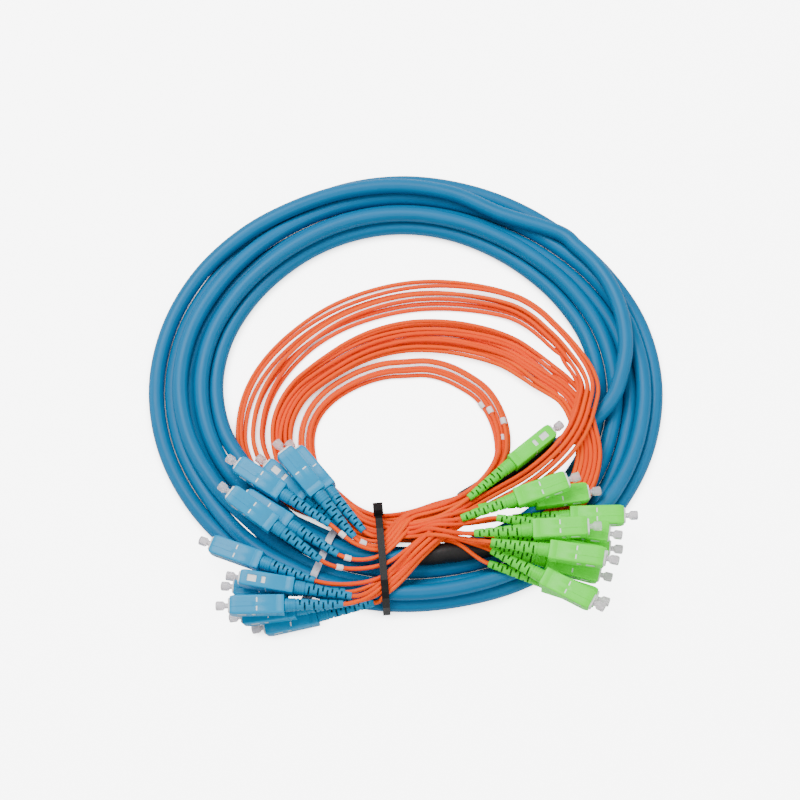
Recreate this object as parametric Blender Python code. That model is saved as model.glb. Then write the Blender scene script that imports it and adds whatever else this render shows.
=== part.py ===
"""Fibre breakout cable: a wound trunk, two sets of twelve legs and their push-pull connectors.

Metres, +Z up. The coil lies flat on z = 0 and its front, where the ties are, faces -Y.
Routes are written in millimetres about the middle of the coil and scaled by MM.
"""
import bmesh
import bpy
import numpy as np
from mathutils import Matrix, Vector

MM = 0.001

# Where the middle of the routes lies from the part's own origin
ROUTE_ORIGIN = (-2.78 * MM, 0.34 * MM, -0.16 * MM)

# Driving dimensions
TRUNK_DIAMETER = 7.4 * MM
LEG_DIAMETER = 2.0 * MM
SLEEVE_DIAMETER = 9.8 * MM
SLEEVE_SHRUNK_DIAMETER = 8.6 * MM
SLEEVE_EDGE = 1.0 * MM
HOUSING_WIDTH = 9.0 * MM
HOUSING_THICKNESS = 7.4 * MM
HOUSING_LENGTH = 25.0 * MM
HOUSING_CORNER = 0.7 * MM
BOOT_LENGTH = 27.0 * MM
BOOT_ROOT_DIAMETER = 6.6 * MM
BOOT_COLLAR_LENGTH = 5.0 * MM
BOOT_TIP_DIAMETER = 3.6 * MM
BLACK_TIE_SECTION = (3.4 * MM, 1.2 * MM)
CLEAR_TIE_SECTION = (3.4 * MM, 1.0 * MM)
CLEARANCE = 0.3 * MM

# The trunk's turns: distance from the middle and height at the right, top, left and bottom of each
COIL_CENTRE = (0.0, 5.5)
STEPS_PER_TURN = 24
FLOOR_HEIGHT = TRUNK_DIAMETER / MM / 2
UPPER_HEIGHT = 10.3
TIE_LIFT = BLACK_TIE_SECTION[1] / MM + 2 * CLEARANCE / MM
TIED_STEPS = (16, 17, 18)
TURNS = [
    ((106.5, 14.5), (102.0, UPPER_HEIGHT), (118.9, FLOOR_HEIGHT), (106.0, FLOOR_HEIGHT + TIE_LIFT)),
    ((125.5, FLOOR_HEIGHT), (106.0, FLOOR_HEIGHT), (111.2, FLOOR_HEIGHT), (102.2, UPPER_HEIGHT + TIE_LIFT)),
    ((119.0, 8.0), (98.4, FLOOR_HEIGHT), (107.3, UPPER_HEIGHT), (98.4, FLOOR_HEIGHT + TIE_LIFT)),
    ((112.6, FLOOR_HEIGHT), (90.8, FLOOR_HEIGHT), (103.5, FLOOR_HEIGHT), (90.8, FLOOR_HEIGHT + TIE_LIFT)),
    ((106.7, 5.0), (87.0, UPPER_HEIGHT), (97.2, 8.4), (83.2, FLOOR_HEIGHT + TIE_LIFT)),
    ((98.7, FLOOR_HEIGHT), (83.2, FLOOR_HEIGHT), (91.0, FLOOR_HEIGHT), (87.0, UPPER_HEIGHT + TIE_LIFT)),
]
QUARTER_FULLNESS = (
    (0.97, 0.97, 0.975, 1.01), (0.97, 0.97, 0.975, 1.01), (0.97, 0.97, 0.975, 1.04),
    (0.97, 0.97, 0.975, 1.05), (0.97, 0.97, 0.975, 1.0), (0.97, 0.97, 0.975, 1.0),
)
FIRST_STEP = 4
LAST_STEP = 136
TRUNK_SPACING = 0.5
SETTLE_ROUNDS = 500
PUSH_ONLY_ROUNDS = 60
PULL_SHARE = 0.02
SMOOTH_SHARE = 0.12
LEAD_IN_STEP = 12.0
LEAD_OUT_STEP = 8.0
LIFT_ROUNDS = 6
POINTS_PER_SPAN = 12
# The turns that the two ends of the trunk lie on: from the first step and up to the second
UNDER_LEAD_IN = 18
UNDER_LEAD_OUT = 122
LEAD_IN = [
    (75, -26, 8.2), (84, -20.5, 9.6), (93.5, -13, 11.8), (101, -5, 15), (105.8, 7, 17), (108.6, 22, 17),
    (107.3, 38, 16.5), (102, 54, 15.5), (92, 69, 14), (77.5, 82.5, 12.5),
]
LEAD_OUT = [(-22, -79.5, 12.8), (-12, -81.2, 13.4), (-2, -81.8, 13.8), (7.6, -81.5, 14)]

# Sleeves: the end that the trunk enters and the end that the legs leave
BLUE_SLEEVE = ((74.7, -26.2, 8.1), (29, -52.6, 5))
GREEN_SLEEVE = ((8, -81.4, 14), (44, -76.5, 13.7))

# Leg bundles: x, y, z, width and height along each loop
OUTER_LOOP = [
    (25.6, -57.4, 5.4, 5.2, 6.4), (18.6, -62, 5.4, 5.4, 6.4), (9, -66.8, 5.4, 5.8, 6.4),
    (-8, -69.2, 5.3, 6.1, 6.3), (-23.2, -65.9, 4.4, 6.3, 6.2), (-36.6, -57.8, 3.3, 7.4, 5.6),
    (-50.5, -50.5, 2.6, 10.5, 4.6), (-62.5, -40, 2.5, 12, 4.4), (-70.5, -27, 2.5, 16, 4.4),
    (-72, -14, 2.5, 17, 4.4), (-69, 1, 2.5, 17, 4.4), (-61, 16, 2.5, 16, 4.4),
    (-47, 31, 2.5, 15, 4.4), (-29, 43, 2.5, 16, 4.4), (-7, 51, 2.5, 18, 4.4), (15, 54, 2.5, 19, 4.4),
    (39, 52, 2.7, 17, 4.6), (60, 45, 4.4, 14, 5), (76, 29, 9, 12, 5.4), (85, 15, 14, 12, 5.2),
    (89.5, 3, 19, 12, 4.6), (88, -8, 22, 12, 4.4), (84.5, -19, 22.4, 12, 4.4), (76.5, -31, 20.2, 11.5, 4.4),
    (62.5, -43, 17, 10.5, 4.6), (48, -51.5, 16, 9.4, 4.6),
    (33, -60.2, 16.8, 8.4, 4.6), (19, -70.4, 19.4, 8.4, 4.4),
    (8, -80.4, 21.8, 9.4, 4),
]
INNER_LOOP = [
    (26.6, -50.2, 4, 3.9, 5.4), (18, -54, 3.2, 4.2, 5.4), (8, -57.6, 3, 5, 4.8), (-8, -60.8, 4.2, 5.8, 4.2),
    (-20.4, -57.2, 3.2, 6.6, 4.2), (-31, -49, 2.4, 7.6, 4.2),
    (-41, -38, 2.4, 9, 4.2), (-45, -25, 2.4, 9, 4.2),
    (-44, -13, 2.4, 9, 4.2), (-38, -2, 2.4, 9, 4.2), (-27, 7, 2.4, 9, 4.2), (-12, 14, 2.4, 10, 4.2),
    (2, 16, 2.4, 11, 4.2), (17, 16, 2.4, 12, 4.2), (31, 10, 2.4, 13, 4.2), (42, 1, 2.4, 13, 4.2),
    (48, -12, 2.4, 12, 4.2), (49.4, -23, 4.6, 9.6, 4.2),
    (48.4, -31, 10, 7.2, 4.4), (45.5, -38, 14, 6.6, 4.4),
    (40, -45.5, 14, 6.4, 4.4), (31, -52.6, 13.6, 6.4, 4.4),
    (19, -57.8, 13.4, 6.4, 4.3), (9, -60.4, 13.2, 6.2, 4.3),
]
GREEN_LOOP = [
    (44.6, -76.4, 13.7, 8, 6.6), (52, -76.2, 13, 9.4, 6),
    (61, -72, 11.8, 12, 4.8), (71.5, -64, 11.2, 13, 4.4),
    (81.5, -53.5, 11.6, 13, 4.4), (87.5, -42, 12.5, 13, 4.4),
    (89.5, -31, 14.9, 13, 4.4), (87, -19, 17.6, 12.4, 4.4),
    (83.8, -9, 16.6, 13, 4.4), (79, 1, 9.6, 14, 4.6), (69, 11, 4, 17, 5), (53, 23, 3.2, 20, 5.8),
    (35, 29, 3.4, 19, 6.3), (17, 31.5, 3.4, 17.5, 6.3),
    (0, 30.6, 3.4, 17, 6.3), (-17.5, 25.3, 3.4, 14.5, 6.3),
    (-34, 15.6, 3.4, 12.5, 6.3), (-49, 3, 3.4, 11.5, 6.3),
    (-56, -11, 3.4, 11.5, 6.3), (-56.5, -24, 3.6, 10.5, 6.3),
    (-50.5, -38, 7, 12.5, 4.6), (-40, -50.4, 8.8, 12.6, 4.4), (-27, -59.8, 10.8, 11.8, 4.4),
    (-17, -66.6, 13, 10, 6), (-8, -69, 13.8, 9.6, 6.3), (2, -69.4, 13.8, 9.6, 6.3),
]
LOOP_STEP = 10.0
LOOP_COLUMNS = 11
LEG_SPACING = 0.1
LEG_ROUNDS = 60
LEG_SMOOTH_SHARE = 0.1
THREE_LAYER_HEIGHT = 5.5
SLIT_DEPTH = 0.45

# Connectors: boot tip, heading and pitch in degrees, roll (90 puts a narrow side on top)
BLUE_INNER = [
    ("a", (-32.6, -68.6, 25.1), 146, -1.9, 0),
    ("b", (-22.7, -70.8, 16.6), 140, -1.9, 90),
    ("c", (-21.3, -74.1, 22.1), 129.5, 4.7, 0),
    ("d", (-16.9, -70.3, 18.6), 129, -6.3, 0),
    ("e", (-28.7, -82.2, 21.6), 147, -3, 0),
]
BLUE_OUTER = [
    ("f", (-36.6, -85.7, 25.1), 144, 6.1, 0),
    ("g", (-39.3, -94.5, 21.1), 159, -6.3, 0),
    ("h", (-22.2, -102.2, 22.9), 171, 2.2, 90),
    ("i", (-25.3, -99.4, 18.4), 175.5, -6.9, 0),
    ("j", (-26, -105.9, 22.9), 181, 0.3, 0),
    ("k", (-21.6, -103.8, 18.6), 186, -8.3, 0),
    ("l", (-12.1, -102.8, 11), 191, -7.5, 0),
]
GREEN_ALL = [
    ("a", (32.1, -54.8, 20.1), 40, -3.3, 90),
    ("b", (28.4, -65.8, 24.9), 19, 5.2, 0),
    ("c", (36.5, -59.7, 21.1), 9, -3.3, 0),
    ("d", (52.6, -63.3, 16.1), 0, 4.7, 0),
    ("e", (34.1, -74.6, 31.6), 2, 5.5, 0),
    ("f", (44.7, -66, 26.6), -8.5, 0.8, 0),
    ("g", (45.3, -73.1, 19.1), -6, -0.3, 0),
    ("h", (41.8, -78.9, 32.3), -10, 5.8, 0),
    ("i", (41.6, -78.2, 20.3), -14, -2.8, 0),
    ("j", (42.2, -81, 24.6), -29, 4.7, 0),
    ("k", (41.1, -85.6, 17.6), -19, 2.5, 0),
    ("l", (43.9, -73.3, 24.6), -14, 5.2, 0),
]

# Ties: place and heading of the plane, the head's direction round the bundle, and its size
BLACK_TIE_PLACE = (-8.5, -80, 0)
BLACK_TIE_HEADING = -85
BLACK_TIE_HEAD_SIDE = 125
BLACK_TIE_HEAD = (5.6, 4.6, 3.6)
CLEAR_TIE_PLACE = (-37.1, -84.1, 0)
CLEAR_TIE_HEADING = 247.5
CLEAR_TIE_HEAD_SIDE = 0
CLEAR_TIE_HEAD = (4.6, 4.4, 3)
HEAD_SINK = 0.5
TIE_CORNERS = 24
TIE_REACH = 36
TIE_POINTS_PER_SPAN = 40
FREE_LEG_REACH = 3
MERGE_DISTANCE = 0.001 * MM
# Where the free legs cross the black tie: distance along its plane and height
FREE_LEGS = [
    (-19.6, 14.4), (-17.4, 16.2), (-14.6, 18), (-10.5, 18.4), (-6, 18.6),
    (-1, 18.8), (5, 19), (8, 19.2), (11, 19.2),
    (14, 19), (17, 18.4), (20.4, 17),
]

# Finishes: base colour, roughness and metallic value
TRUNK_FINISH = ((0.030, 0.270, 0.500, 1), 0.42, 0.0)
LEG_FINISH = ((0.900, 0.150, 0.025, 1), 0.45, 0.0)
SLEEVE_FINISH = ((0.020, 0.020, 0.022, 1), 0.55, 0.0)
BLUE_FINISH = ((0.050, 0.390, 0.720, 1), 0.38, 0.0)
GREEN_FINISH = ((0.250, 0.780, 0.200, 1), 0.38, 0.0)
BLACK_FINISH = ((0.015, 0.015, 0.017, 1), 0.45, 0.0)
CLEAR_FINISH = ((0.750, 0.750, 0.780, 1), 0.35, 0.0)


def clear_scene():
    for item in list(bpy.data.objects):
        bpy.data.objects.remove(item, do_unlink=True)


def finish(name, values):
    """A plain material with the given colour, roughness and metallic value."""
    colour, roughness, metallic = values
    material = bpy.data.materials.new(name)
    material.use_nodes = True
    shader = material.node_tree.nodes["Principled BSDF"]
    shader.inputs["Base Color"].default_value = colour
    shader.inputs["Roughness"].default_value = roughness
    shader.inputs["Metallic"].default_value = metallic
    return material


def smooth_path(points, per_span=16):
    """Catmull-Rom curve through the points, per_span samples for each span."""
    p = np.asarray(points, float)
    q = np.vstack([2 * p[0] - p[1], p, 2 * p[-1] - p[-2]])
    t = np.linspace(0, 1, per_span, endpoint=False)[:, None]
    spans = []
    for a, b, c, d in zip(q[:-3], q[1:-2], q[2:-1], q[3:]):
        spans.append(0.5 * (2 * b + (c - a) * t + (2 * a - 5 * b + 4 * c - d) * t ** 2
                            + (3 * b - a - 3 * c + d) * t ** 3))
    return np.vstack(spans + [p[-1:]])


def evenly(points, step):
    """The smooth curve through the points, read off at even distances of about step."""
    p = smooth_path(points)
    along = np.r_[0, np.cumsum(np.linalg.norm(np.diff(p[:, :3], axis=0), axis=1))]
    wanted = np.linspace(0, along[-1], max(2, int(round(along[-1] / step)) + 1))
    return np.column_stack([np.interp(wanted, along, p[:, k]) for k in range(p.shape[1])])


def wanted_turns():
    """Distance from the middle and height of the turns before they press on each other."""
    step = np.arange(FIRST_STEP, LAST_STEP + 1)
    stations = np.array([s for turn in TURNS for s in turn] + [TURNS[-1][0]])
    quarter = STEPS_PER_TURN // 4
    k = step // quarter
    turned = (step % quarter) / quarter * np.pi / 2
    a = stations[k]
    b = stations[k + 1]
    distance = a[:, 0] * b[:, 0] / np.hypot(b[:, 0] * np.cos(turned), a[:, 0] * np.sin(turned))
    fullness = np.array(QUARTER_FULLNESS).ravel()[k]
    distance *= 1 - (1 - fullness) * np.sin(2 * turned) ** 2
    share = np.sin(turned) ** 2
    return step, np.column_stack([distance, a[:, 1] * (1 - share) + b[:, 1] * share])


def settled_turns():
    """Turns pushed a diameter apart, kept smooth along the cable and above the floor."""
    step, wanted = wanted_turns()
    place = wanted.copy()
    diameter = TRUNK_DIAMETER / MM
    tied = np.isin(step % STEPS_PER_TURN, TIED_STEPS)
    floor = np.where(tied, diameter / 2 + TIE_LIFT, diameter / 2)
    apart = diameter + TRUNK_SPACING
    for count in range(SETTLE_ROUNDS):
        place += PULL_SHARE * (wanted - place)
        if count < SETTLE_ROUNDS - PUSH_ONLY_ROUNDS:
            place[1:-1] += SMOOTH_SHARE * (place[:-2] + place[2:] - 2 * place[1:-1])
        for turns in range(1, len(TURNS)):
            outer = np.arange(turns * STEPS_PER_TURN, len(step))
            inner = outer - turns * STEPS_PER_TURN
            away = place[outer] - place[inner]
            distance = np.maximum(np.linalg.norm(away, axis=1), 1e-6)[:, None]
            push = 0.5 * np.clip(apart - distance, 0, None) * away / distance
            place[inner] -= push
            place[outer] += push
        place[:, 1] = np.maximum(place[:, 1], floor)
    angle = 2 * np.pi * step / STEPS_PER_TURN
    x = COIL_CENTRE[0] + place[:, 0] * np.cos(angle)
    y = COIL_CENTRE[1] + place[:, 0] * np.sin(angle)
    return step, np.column_stack([x, y, place[:, 1]])


def lifted_over(path, below, apart):
    """The path with each point raised until it lies apart above the strands below it."""
    flat = np.linalg.norm(path[:, None, :2] - below[None, :, :2], axis=2)
    reach = np.sqrt(np.clip(apart ** 2 - flat ** 2, 0, None))
    need = np.where(flat < apart, below[None, :, 2] + reach, 0).max(axis=1)
    height = np.maximum(path[:, 2], need)
    for _ in range(LIFT_ROUNDS):
        height[1:-1] = np.maximum(need[1:-1], (height[:-2] + height[2:] + 2 * height[1:-1]) / 4)
    return np.column_stack([path[:, :2], height])


def trunk_path():
    """Centre line of the trunk from the blue end's sleeve to the green end's sleeve."""
    step, wound = settled_turns()
    apart = TRUNK_DIAMETER / MM + TRUNK_SPACING
    dense = smooth_path(wound, POINTS_PER_SPAN)
    dense_step = np.interp(np.arange(len(dense)) / POINTS_PER_SPAN, np.arange(len(step)), step)
    lead_in = lifted_over(evenly(LEAD_IN, LEAD_IN_STEP), dense[dense_step > UNDER_LEAD_IN], apart)
    lead_out = lifted_over(evenly(LEAD_OUT, LEAD_OUT_STEP), dense[dense_step < UNDER_LEAD_OUT], apart)
    return np.vstack([lead_in, wound, lead_out])


def frames(path):
    """Unit vectors along, across (level) and up at each point of a path."""
    along = np.gradient(path[:, :3], axis=0)
    along /= np.linalg.norm(along, axis=1)[:, None]
    across = np.cross([0, 0, 1], along)
    across /= np.linalg.norm(across, axis=1)[:, None]
    return along, across, np.cross(along, across)


def leg_offsets(stations, count):
    """Sideways and upward place of each leg at each station of a bundle, in millimetres."""
    radius = LEG_DIAMETER / MM / 2
    rank = np.linspace(-1, 1, count)
    layers = np.where(stations[:, 4] > THREE_LAYER_HEIGHT, 3, 2)
    in_three = (np.arange(count) * 2) % 3 - 1
    in_two = (np.arange(count) % 2) * 2 - 1
    layer = np.where(layers[:, None] == 3, in_three, in_two)
    reach = stations[:, 3:5] / 2 - radius
    place = np.stack([rank * reach[:, :1], layer * reach[:, 1:]], axis=2)
    apart = 2 * radius + LEG_SPACING
    for _ in range(LEG_ROUNDS):
        place[1:-1] += LEG_SMOOTH_SHARE * (place[:-2] + place[2:] - 2 * place[1:-1])
        away = place[:, :, None] - place[:, None]
        distance = np.linalg.norm(away, axis=3) + np.eye(count) * 1e3
        push = 0.5 * np.clip(apart - distance, 0, None)[..., None] * away / distance[..., None]
        place = np.clip(place + push.sum(axis=2), -reach[:, None], reach[:, None])
    return place


def bundle(route, count):
    """Stations of a bundle and the centre line of each of its legs."""
    stations = evenly(route, LOOP_STEP)
    _, across, up = frames(stations)
    place = leg_offsets(stations, count)
    legs = stations[:, None, :3] + place[..., :1] * across[:, None] + place[..., 1:] * up[:, None]
    return stations, place, legs


def bundle_skin(stations, place):
    """Rings round a bundle: the tops and bottoms of its legs, with the slits between them."""
    radius = LEG_DIAMETER / MM / 2
    _, across, up = frames(stations)
    share = np.sin(np.linspace(-1, 1, LOOP_COLUMNS) * np.pi / 2)
    edge = place[..., 0]
    left = edge.min(axis=1) - radius
    right = edge.max(axis=1) + radius
    column = (left + right)[:, None] / 2 + share * (right - left)[:, None] / 2 * 0.98
    rise = np.sqrt(np.clip(radius ** 2 - (column[:, :, None] - edge[:, None]) ** 2, 0, None))
    over = rise > 0
    middle = place[..., 1].mean(axis=1)[:, None]
    top = np.where(over, place[:, None, :, 1] + rise, -1e3).max(axis=2)
    bottom = np.where(over, place[:, None, :, 1] - rise, 1e3).min(axis=2)
    top = np.maximum(top, middle + SLIT_DEPTH)
    bottom = np.minimum(bottom, middle - SLIT_DEPTH)
    side = np.concatenate([column, column[:, ::-1]], axis=1)
    height = np.concatenate([top, bottom[:, ::-1]], axis=1)
    return stations[:, None, :3] + side[..., None] * across[:, None] + height[..., None] * up[:, None]


def add_object(name, mesh, collection, material, parent):
    item = bpy.data.objects.new(name, mesh)
    collection.objects.link(item)
    item.parent = parent
    if not mesh.materials:
        mesh.materials.append(material)
    return item


def loft_mesh(name, rings):
    """Closed skin over equal rings of points, with a flat cap on each end."""
    count, around = rings.shape[:2]
    build = bmesh.new()
    verts = [build.verts.new(Vector(p)) for p in rings.reshape(-1, 3) * MM]
    for i in range(count - 1):
        for j in range(around):
            k = (j + 1) % around
            build.faces.new((verts[i * around + j], verts[i * around + k],
                             verts[(i + 1) * around + k], verts[(i + 1) * around + j]))
    build.faces.new(verts[:around])
    build.faces.new(verts[-around:])
    bmesh.ops.recalc_face_normals(build, faces=build.faces)
    mesh = bpy.data.meshes.new(name)
    build.to_mesh(mesh)
    build.free()
    mesh.shade_smooth()
    mesh.set_sharp_from_angle(angle=0.8)
    return mesh


def tube(name, path, diameter, resolution, collection, material, parent):
    """A round tube with closed ends along a path given in millimetres."""
    curve = bpy.data.curves.new(name, "CURVE")
    curve.dimensions = "3D"
    curve.bevel_depth = diameter / 2
    curve.bevel_resolution = resolution
    curve.use_fill_caps = True
    spline = curve.splines.new("POLY")
    spline.points.add(len(path) - 1)
    for point, place in zip(spline.points, path * MM):
        point.co = (*place, 1)
    return add_object(name, curve, collection, material, parent)


def make_trunk(collection, parent):
    """The trunk cable; returns its centre line."""
    path = trunk_path()
    tube("trunk_cable", path, TRUNK_DIAMETER, 3, collection, finish("trunk_jacket", TRUNK_FINISH), parent)
    return path


def turned_mesh(name, profile, sides):
    """A profile of (distance along +X, radius) turned into a closed solid about X."""
    angle = 2 * np.pi * np.arange(sides) / sides
    rings = [[(x / MM, r / MM * np.cos(a), r / MM * np.sin(a)) for a in angle] for x, r in profile]
    return loft_mesh(name, np.array(rings))


def make_sleeve(name, ends, collection, material, parent):
    start, end = (Vector(p) * MM for p in ends)
    gap = CLEARANCE
    length = (end - start).length
    radius = SLEEVE_DIAMETER / 2
    small = SLEEVE_SHRUNK_DIAMETER / 2
    profile = [(gap, small - SLEEVE_EDGE / 2), (gap + SLEEVE_EDGE, small), (length * 0.2, radius),
               (length * 0.85, radius), (length - gap - SLEEVE_EDGE, radius - SLEEVE_EDGE / 4),
               (length - gap, radius - SLEEVE_EDGE)]
    item = add_object(name, turned_mesh(name, profile, 14), collection, material, parent)
    item.location = start
    item.rotation_euler = (end - start).to_track_quat("X", "Z").to_euler()


def connector_turn(heading, pitch, roll):
    """Rotation that lays a connector, built along +X, at its heading, pitch and roll."""
    return (Matrix.Rotation(np.radians(heading), 3, "Z") @ Matrix.Rotation(-np.radians(pitch), 3, "Y")
            @ Matrix.Rotation(np.radians(roll), 3, "X"))


def housing_mesh():
    """A push-pull housing: a box with chamfered long edges, from x = 0 to its length."""
    build = bmesh.new()
    size = Matrix.Diagonal((HOUSING_LENGTH, HOUSING_WIDTH, HOUSING_THICKNESS, 1))
    bmesh.ops.create_cube(build, size=1, matrix=Matrix.Translation((HOUSING_LENGTH / 2, 0, 0)) @ size)
    long_edges = [e for e in build.edges if abs(e.verts[0].co.x - e.verts[1].co.x) > HOUSING_LENGTH / 2]
    bmesh.ops.bevel(build, geom=long_edges, offset=HOUSING_CORNER, segments=1, affect="EDGES")
    mesh = bpy.data.meshes.new("housing")
    build.to_mesh(mesh)
    build.free()
    return mesh


def boot_mesh():
    """A boot: a round collar at the housing that tapers to the leg, from x = 0 at its tip."""
    end = BOOT_LENGTH - CLEARANCE
    root = BOOT_ROOT_DIAMETER / 2
    profile = [(0, BOOT_TIP_DIAMETER / 2), (end - BOOT_COLLAR_LENGTH, root * 0.95),
               (end - BOOT_COLLAR_LENGTH * 0.9, root), (end, root)]
    return turned_mesh("boot", profile, 10)


def make_connectors(colour, rows, meshes, collection, material, parent):
    """Housings and boots of one set; each copy shares its mesh."""
    housing, boot = meshes
    for suffix, tip, heading, pitch, roll in rows:
        turn = connector_turn(heading, pitch, roll)
        tip = Vector(tip) * MM
        for part, mesh, ahead in (("boot", boot, 0), ("housing", housing, BOOT_LENGTH)):
            item = bpy.data.objects.new(f"{colour}_{part}_{suffix}", mesh)
            collection.objects.link(item)
            item.parent = parent
            item.location = tip + turn @ Vector((ahead, 0, 0))
            item.rotation_euler = turn.to_euler()
        for mesh in meshes:
            if not mesh.materials:
                mesh.materials.append(material)


def make_bundle(name, route, count, collection, material, parent):
    """One solid for a bundle; returns the centre lines of its legs."""
    stations, place, legs = bundle(route, count)
    add_object(name, loft_mesh(name, bundle_skin(stations, place)), collection, material, parent)
    return [(legs[:, k], LEG_DIAMETER / MM / 2) for k in range(count)]


def free_legs():
    """Short straight pieces of leg through the black tie, at their places in its plane."""
    turn = np.radians(BLACK_TIE_HEADING)
    along = np.array([np.cos(turn), np.sin(turn), 0])
    across = np.array([-along[1], along[0], 0])
    legs = []
    for distance, height in FREE_LEGS:
        middle = np.array(BLACK_TIE_PLACE) + distance * along + np.array([0, 0, height])
        ends = np.array([middle - FREE_LEG_REACH * across, middle, middle + FREE_LEG_REACH * across])
        legs.append((ends, LEG_DIAMETER / MM / 2))
    return legs


def tie_loop(place, heading, strands):
    """Corners of a tie's inner side, one clearance off the hull of the round strands it holds.

    Strands are pairs of a centre line and a radius; each counts where it passes through the tie's width.
    """
    turn = np.radians(heading)
    along = np.array([np.cos(turn), np.sin(turn)])
    across = np.array([-along[1], along[0]])
    half = BLACK_TIE_SECTION[0] / MM / 2
    spots = []
    for path, radius in strands:
        share = np.arange(0, len(path) - 1, 1 / TIE_POINTS_PER_SPAN)
        straight = np.column_stack([np.interp(share, np.arange(len(path)), path[:, k]) for k in range(3)])
        dense = np.vstack([smooth_path(path, TIE_POINTS_PER_SPAN), straight])
        away = dense[:, :2] - place[:2]
        held = (abs(away @ across) < half) & (abs(away @ along) < TIE_REACH)
        spots.append(np.column_stack([(away @ along)[held], dense[held, 2], np.full(held.sum(), radius)]))
    spots = np.vstack(spots)
    side = 2 * np.pi * np.arange(TIE_CORNERS) / TIE_CORNERS
    facing = np.column_stack([np.cos(side), np.sin(side)])
    reach = (spots[:, :2] @ facing.T + spots[:, 2:]).max(axis=0) + CLEARANCE / MM
    step = 2 * np.pi / TIE_CORNERS
    beside = np.column_stack([-facing[:, 1], facing[:, 0]])
    slide = (np.roll(reach, -1) - reach * np.cos(step)) / np.sin(step)
    return reach[:, None] * facing + slide[:, None] * beside


def band_mesh(name, loop, section):
    """A band of the given width and thickness outside the corners of the loop."""
    width, thickness = (value / MM for value in section)
    step = 2 * np.pi / TIE_CORNERS
    side = step * np.arange(TIE_CORNERS) + step / 2
    out = np.column_stack([np.cos(side), np.sin(side)]) / np.cos(step / 2)
    outer = loop + out * thickness
    build = bmesh.new()
    rows = []
    for outline, edge in ((loop, -0.5), (loop, 0.5), (outer, 0.5), (outer, -0.5)):
        rows.append([build.verts.new(Vector((x, edge * width, z)) * MM) for x, z in outline])
    for a, b in zip(rows, rows[1:] + rows[:1]):
        for k in range(TIE_CORNERS):
            after = (k + 1) % TIE_CORNERS
            build.faces.new((a[k], a[after], b[after], b[k]))
    bmesh.ops.remove_doubles(build, verts=build.verts, dist=MERGE_DISTANCE)
    bmesh.ops.recalc_face_normals(build, faces=build.faces)
    mesh = bpy.data.meshes.new(name)
    build.to_mesh(mesh)
    build.free()
    return mesh


def make_tie(name, setting, section, strands, collections, material, parent):
    """A band pulled round its strands, with its head box joined on."""
    place, heading, head_side, head = setting
    collection, cutters = collections
    loop = tie_loop(place, heading, strands)
    item = add_object(name, band_mesh(name, loop, section), collection, material, parent)
    item.matrix_basis = Matrix.Translation(Vector(place) * MM) @ Matrix.Rotation(np.radians(heading), 4, "Z")
    facing = np.array([np.cos(np.radians(head_side)), np.sin(np.radians(head_side))])
    corner = loop[np.argmax(loop @ facing)]
    centre = corner + facing * (section[1] / MM + head[2] / 2 - HEAD_SINK)
    build = bmesh.new()
    spot = Matrix.Translation(Vector((centre[0], 0, centre[1])) * MM)
    turn = Matrix.Rotation(np.radians(90 - head_side), 4, "Y")
    size = Matrix.Diagonal((head[0] * MM, head[1] * MM, head[2] * MM, 1))
    bmesh.ops.create_cube(build, size=1, matrix=spot @ turn @ size)
    mesh = bpy.data.meshes.new(name + "_head")
    build.to_mesh(mesh)
    build.free()
    box = bpy.data.objects.new(name + "_head", mesh)
    cutters.objects.link(box)
    box.parent = parent
    box.matrix_basis = item.matrix_basis
    box.hide_render = True
    box.display_type = "WIRE"
    union = item.modifiers.new("head", "BOOLEAN")
    union.operation = "UNION"
    union.solver = "EXACT"
    union.object = box


def main():
    clear_scene()
    collection = bpy.data.collections.new("fibre_breakout_cable")
    bpy.context.scene.collection.children.link(collection)
    cutters = bpy.data.collections.new("cutters")
    bpy.context.scene.collection.children.link(cutters)
    origin = bpy.data.objects.new("route_origin", None)
    collection.objects.link(origin)
    origin.location = ROUTE_ORIGIN

    trunk = make_trunk(collection, origin)
    sleeve = finish("sleeve_black", SLEEVE_FINISH)
    make_sleeve("breakout_sleeve_blue_end", BLUE_SLEEVE, collection, sleeve, origin)
    make_sleeve("breakout_sleeve_green_end", GREEN_SLEEVE, collection, sleeve, origin)

    legs = finish("leg_orange", LEG_FINISH)
    outer = make_bundle("blue_legs_outer_loop", OUTER_LOOP, len(BLUE_OUTER), collection, legs, origin)
    inner = make_bundle("blue_legs_inner_loop", INNER_LOOP, len(BLUE_INNER), collection, legs, origin)
    last = make_bundle("green_legs_loop", GREEN_LOOP, len(GREEN_ALL), collection, legs, origin)

    collections = (collection, cutters)
    black = (BLACK_TIE_PLACE, BLACK_TIE_HEADING, BLACK_TIE_HEAD_SIDE, BLACK_TIE_HEAD)
    strands = [(trunk, TRUNK_DIAMETER / MM / 2)] + outer + inner + last
    make_tie("cable_tie_black", black, BLACK_TIE_SECTION, strands + free_legs(), collections,
             finish("tie_black", BLACK_FINISH), origin)
    clear = (CLEAR_TIE_PLACE, CLEAR_TIE_HEADING, CLEAR_TIE_HEAD_SIDE, CLEAR_TIE_HEAD)
    make_tie("cable_tie_clear", clear, CLEAR_TIE_SECTION, strands[:1], collections,
             finish("tie_clear", CLEAR_FINISH), origin)

    blue = (housing_mesh(), boot_mesh())
    green = (housing_mesh(), boot_mesh())
    blue_finish = finish("connector_blue", BLUE_FINISH)
    make_connectors("blue", BLUE_INNER + BLUE_OUTER, blue, collection, blue_finish, origin)
    make_connectors("green", GREEN_ALL, green, collection, finish("connector_green", GREEN_FINISH), origin)


main()
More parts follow.
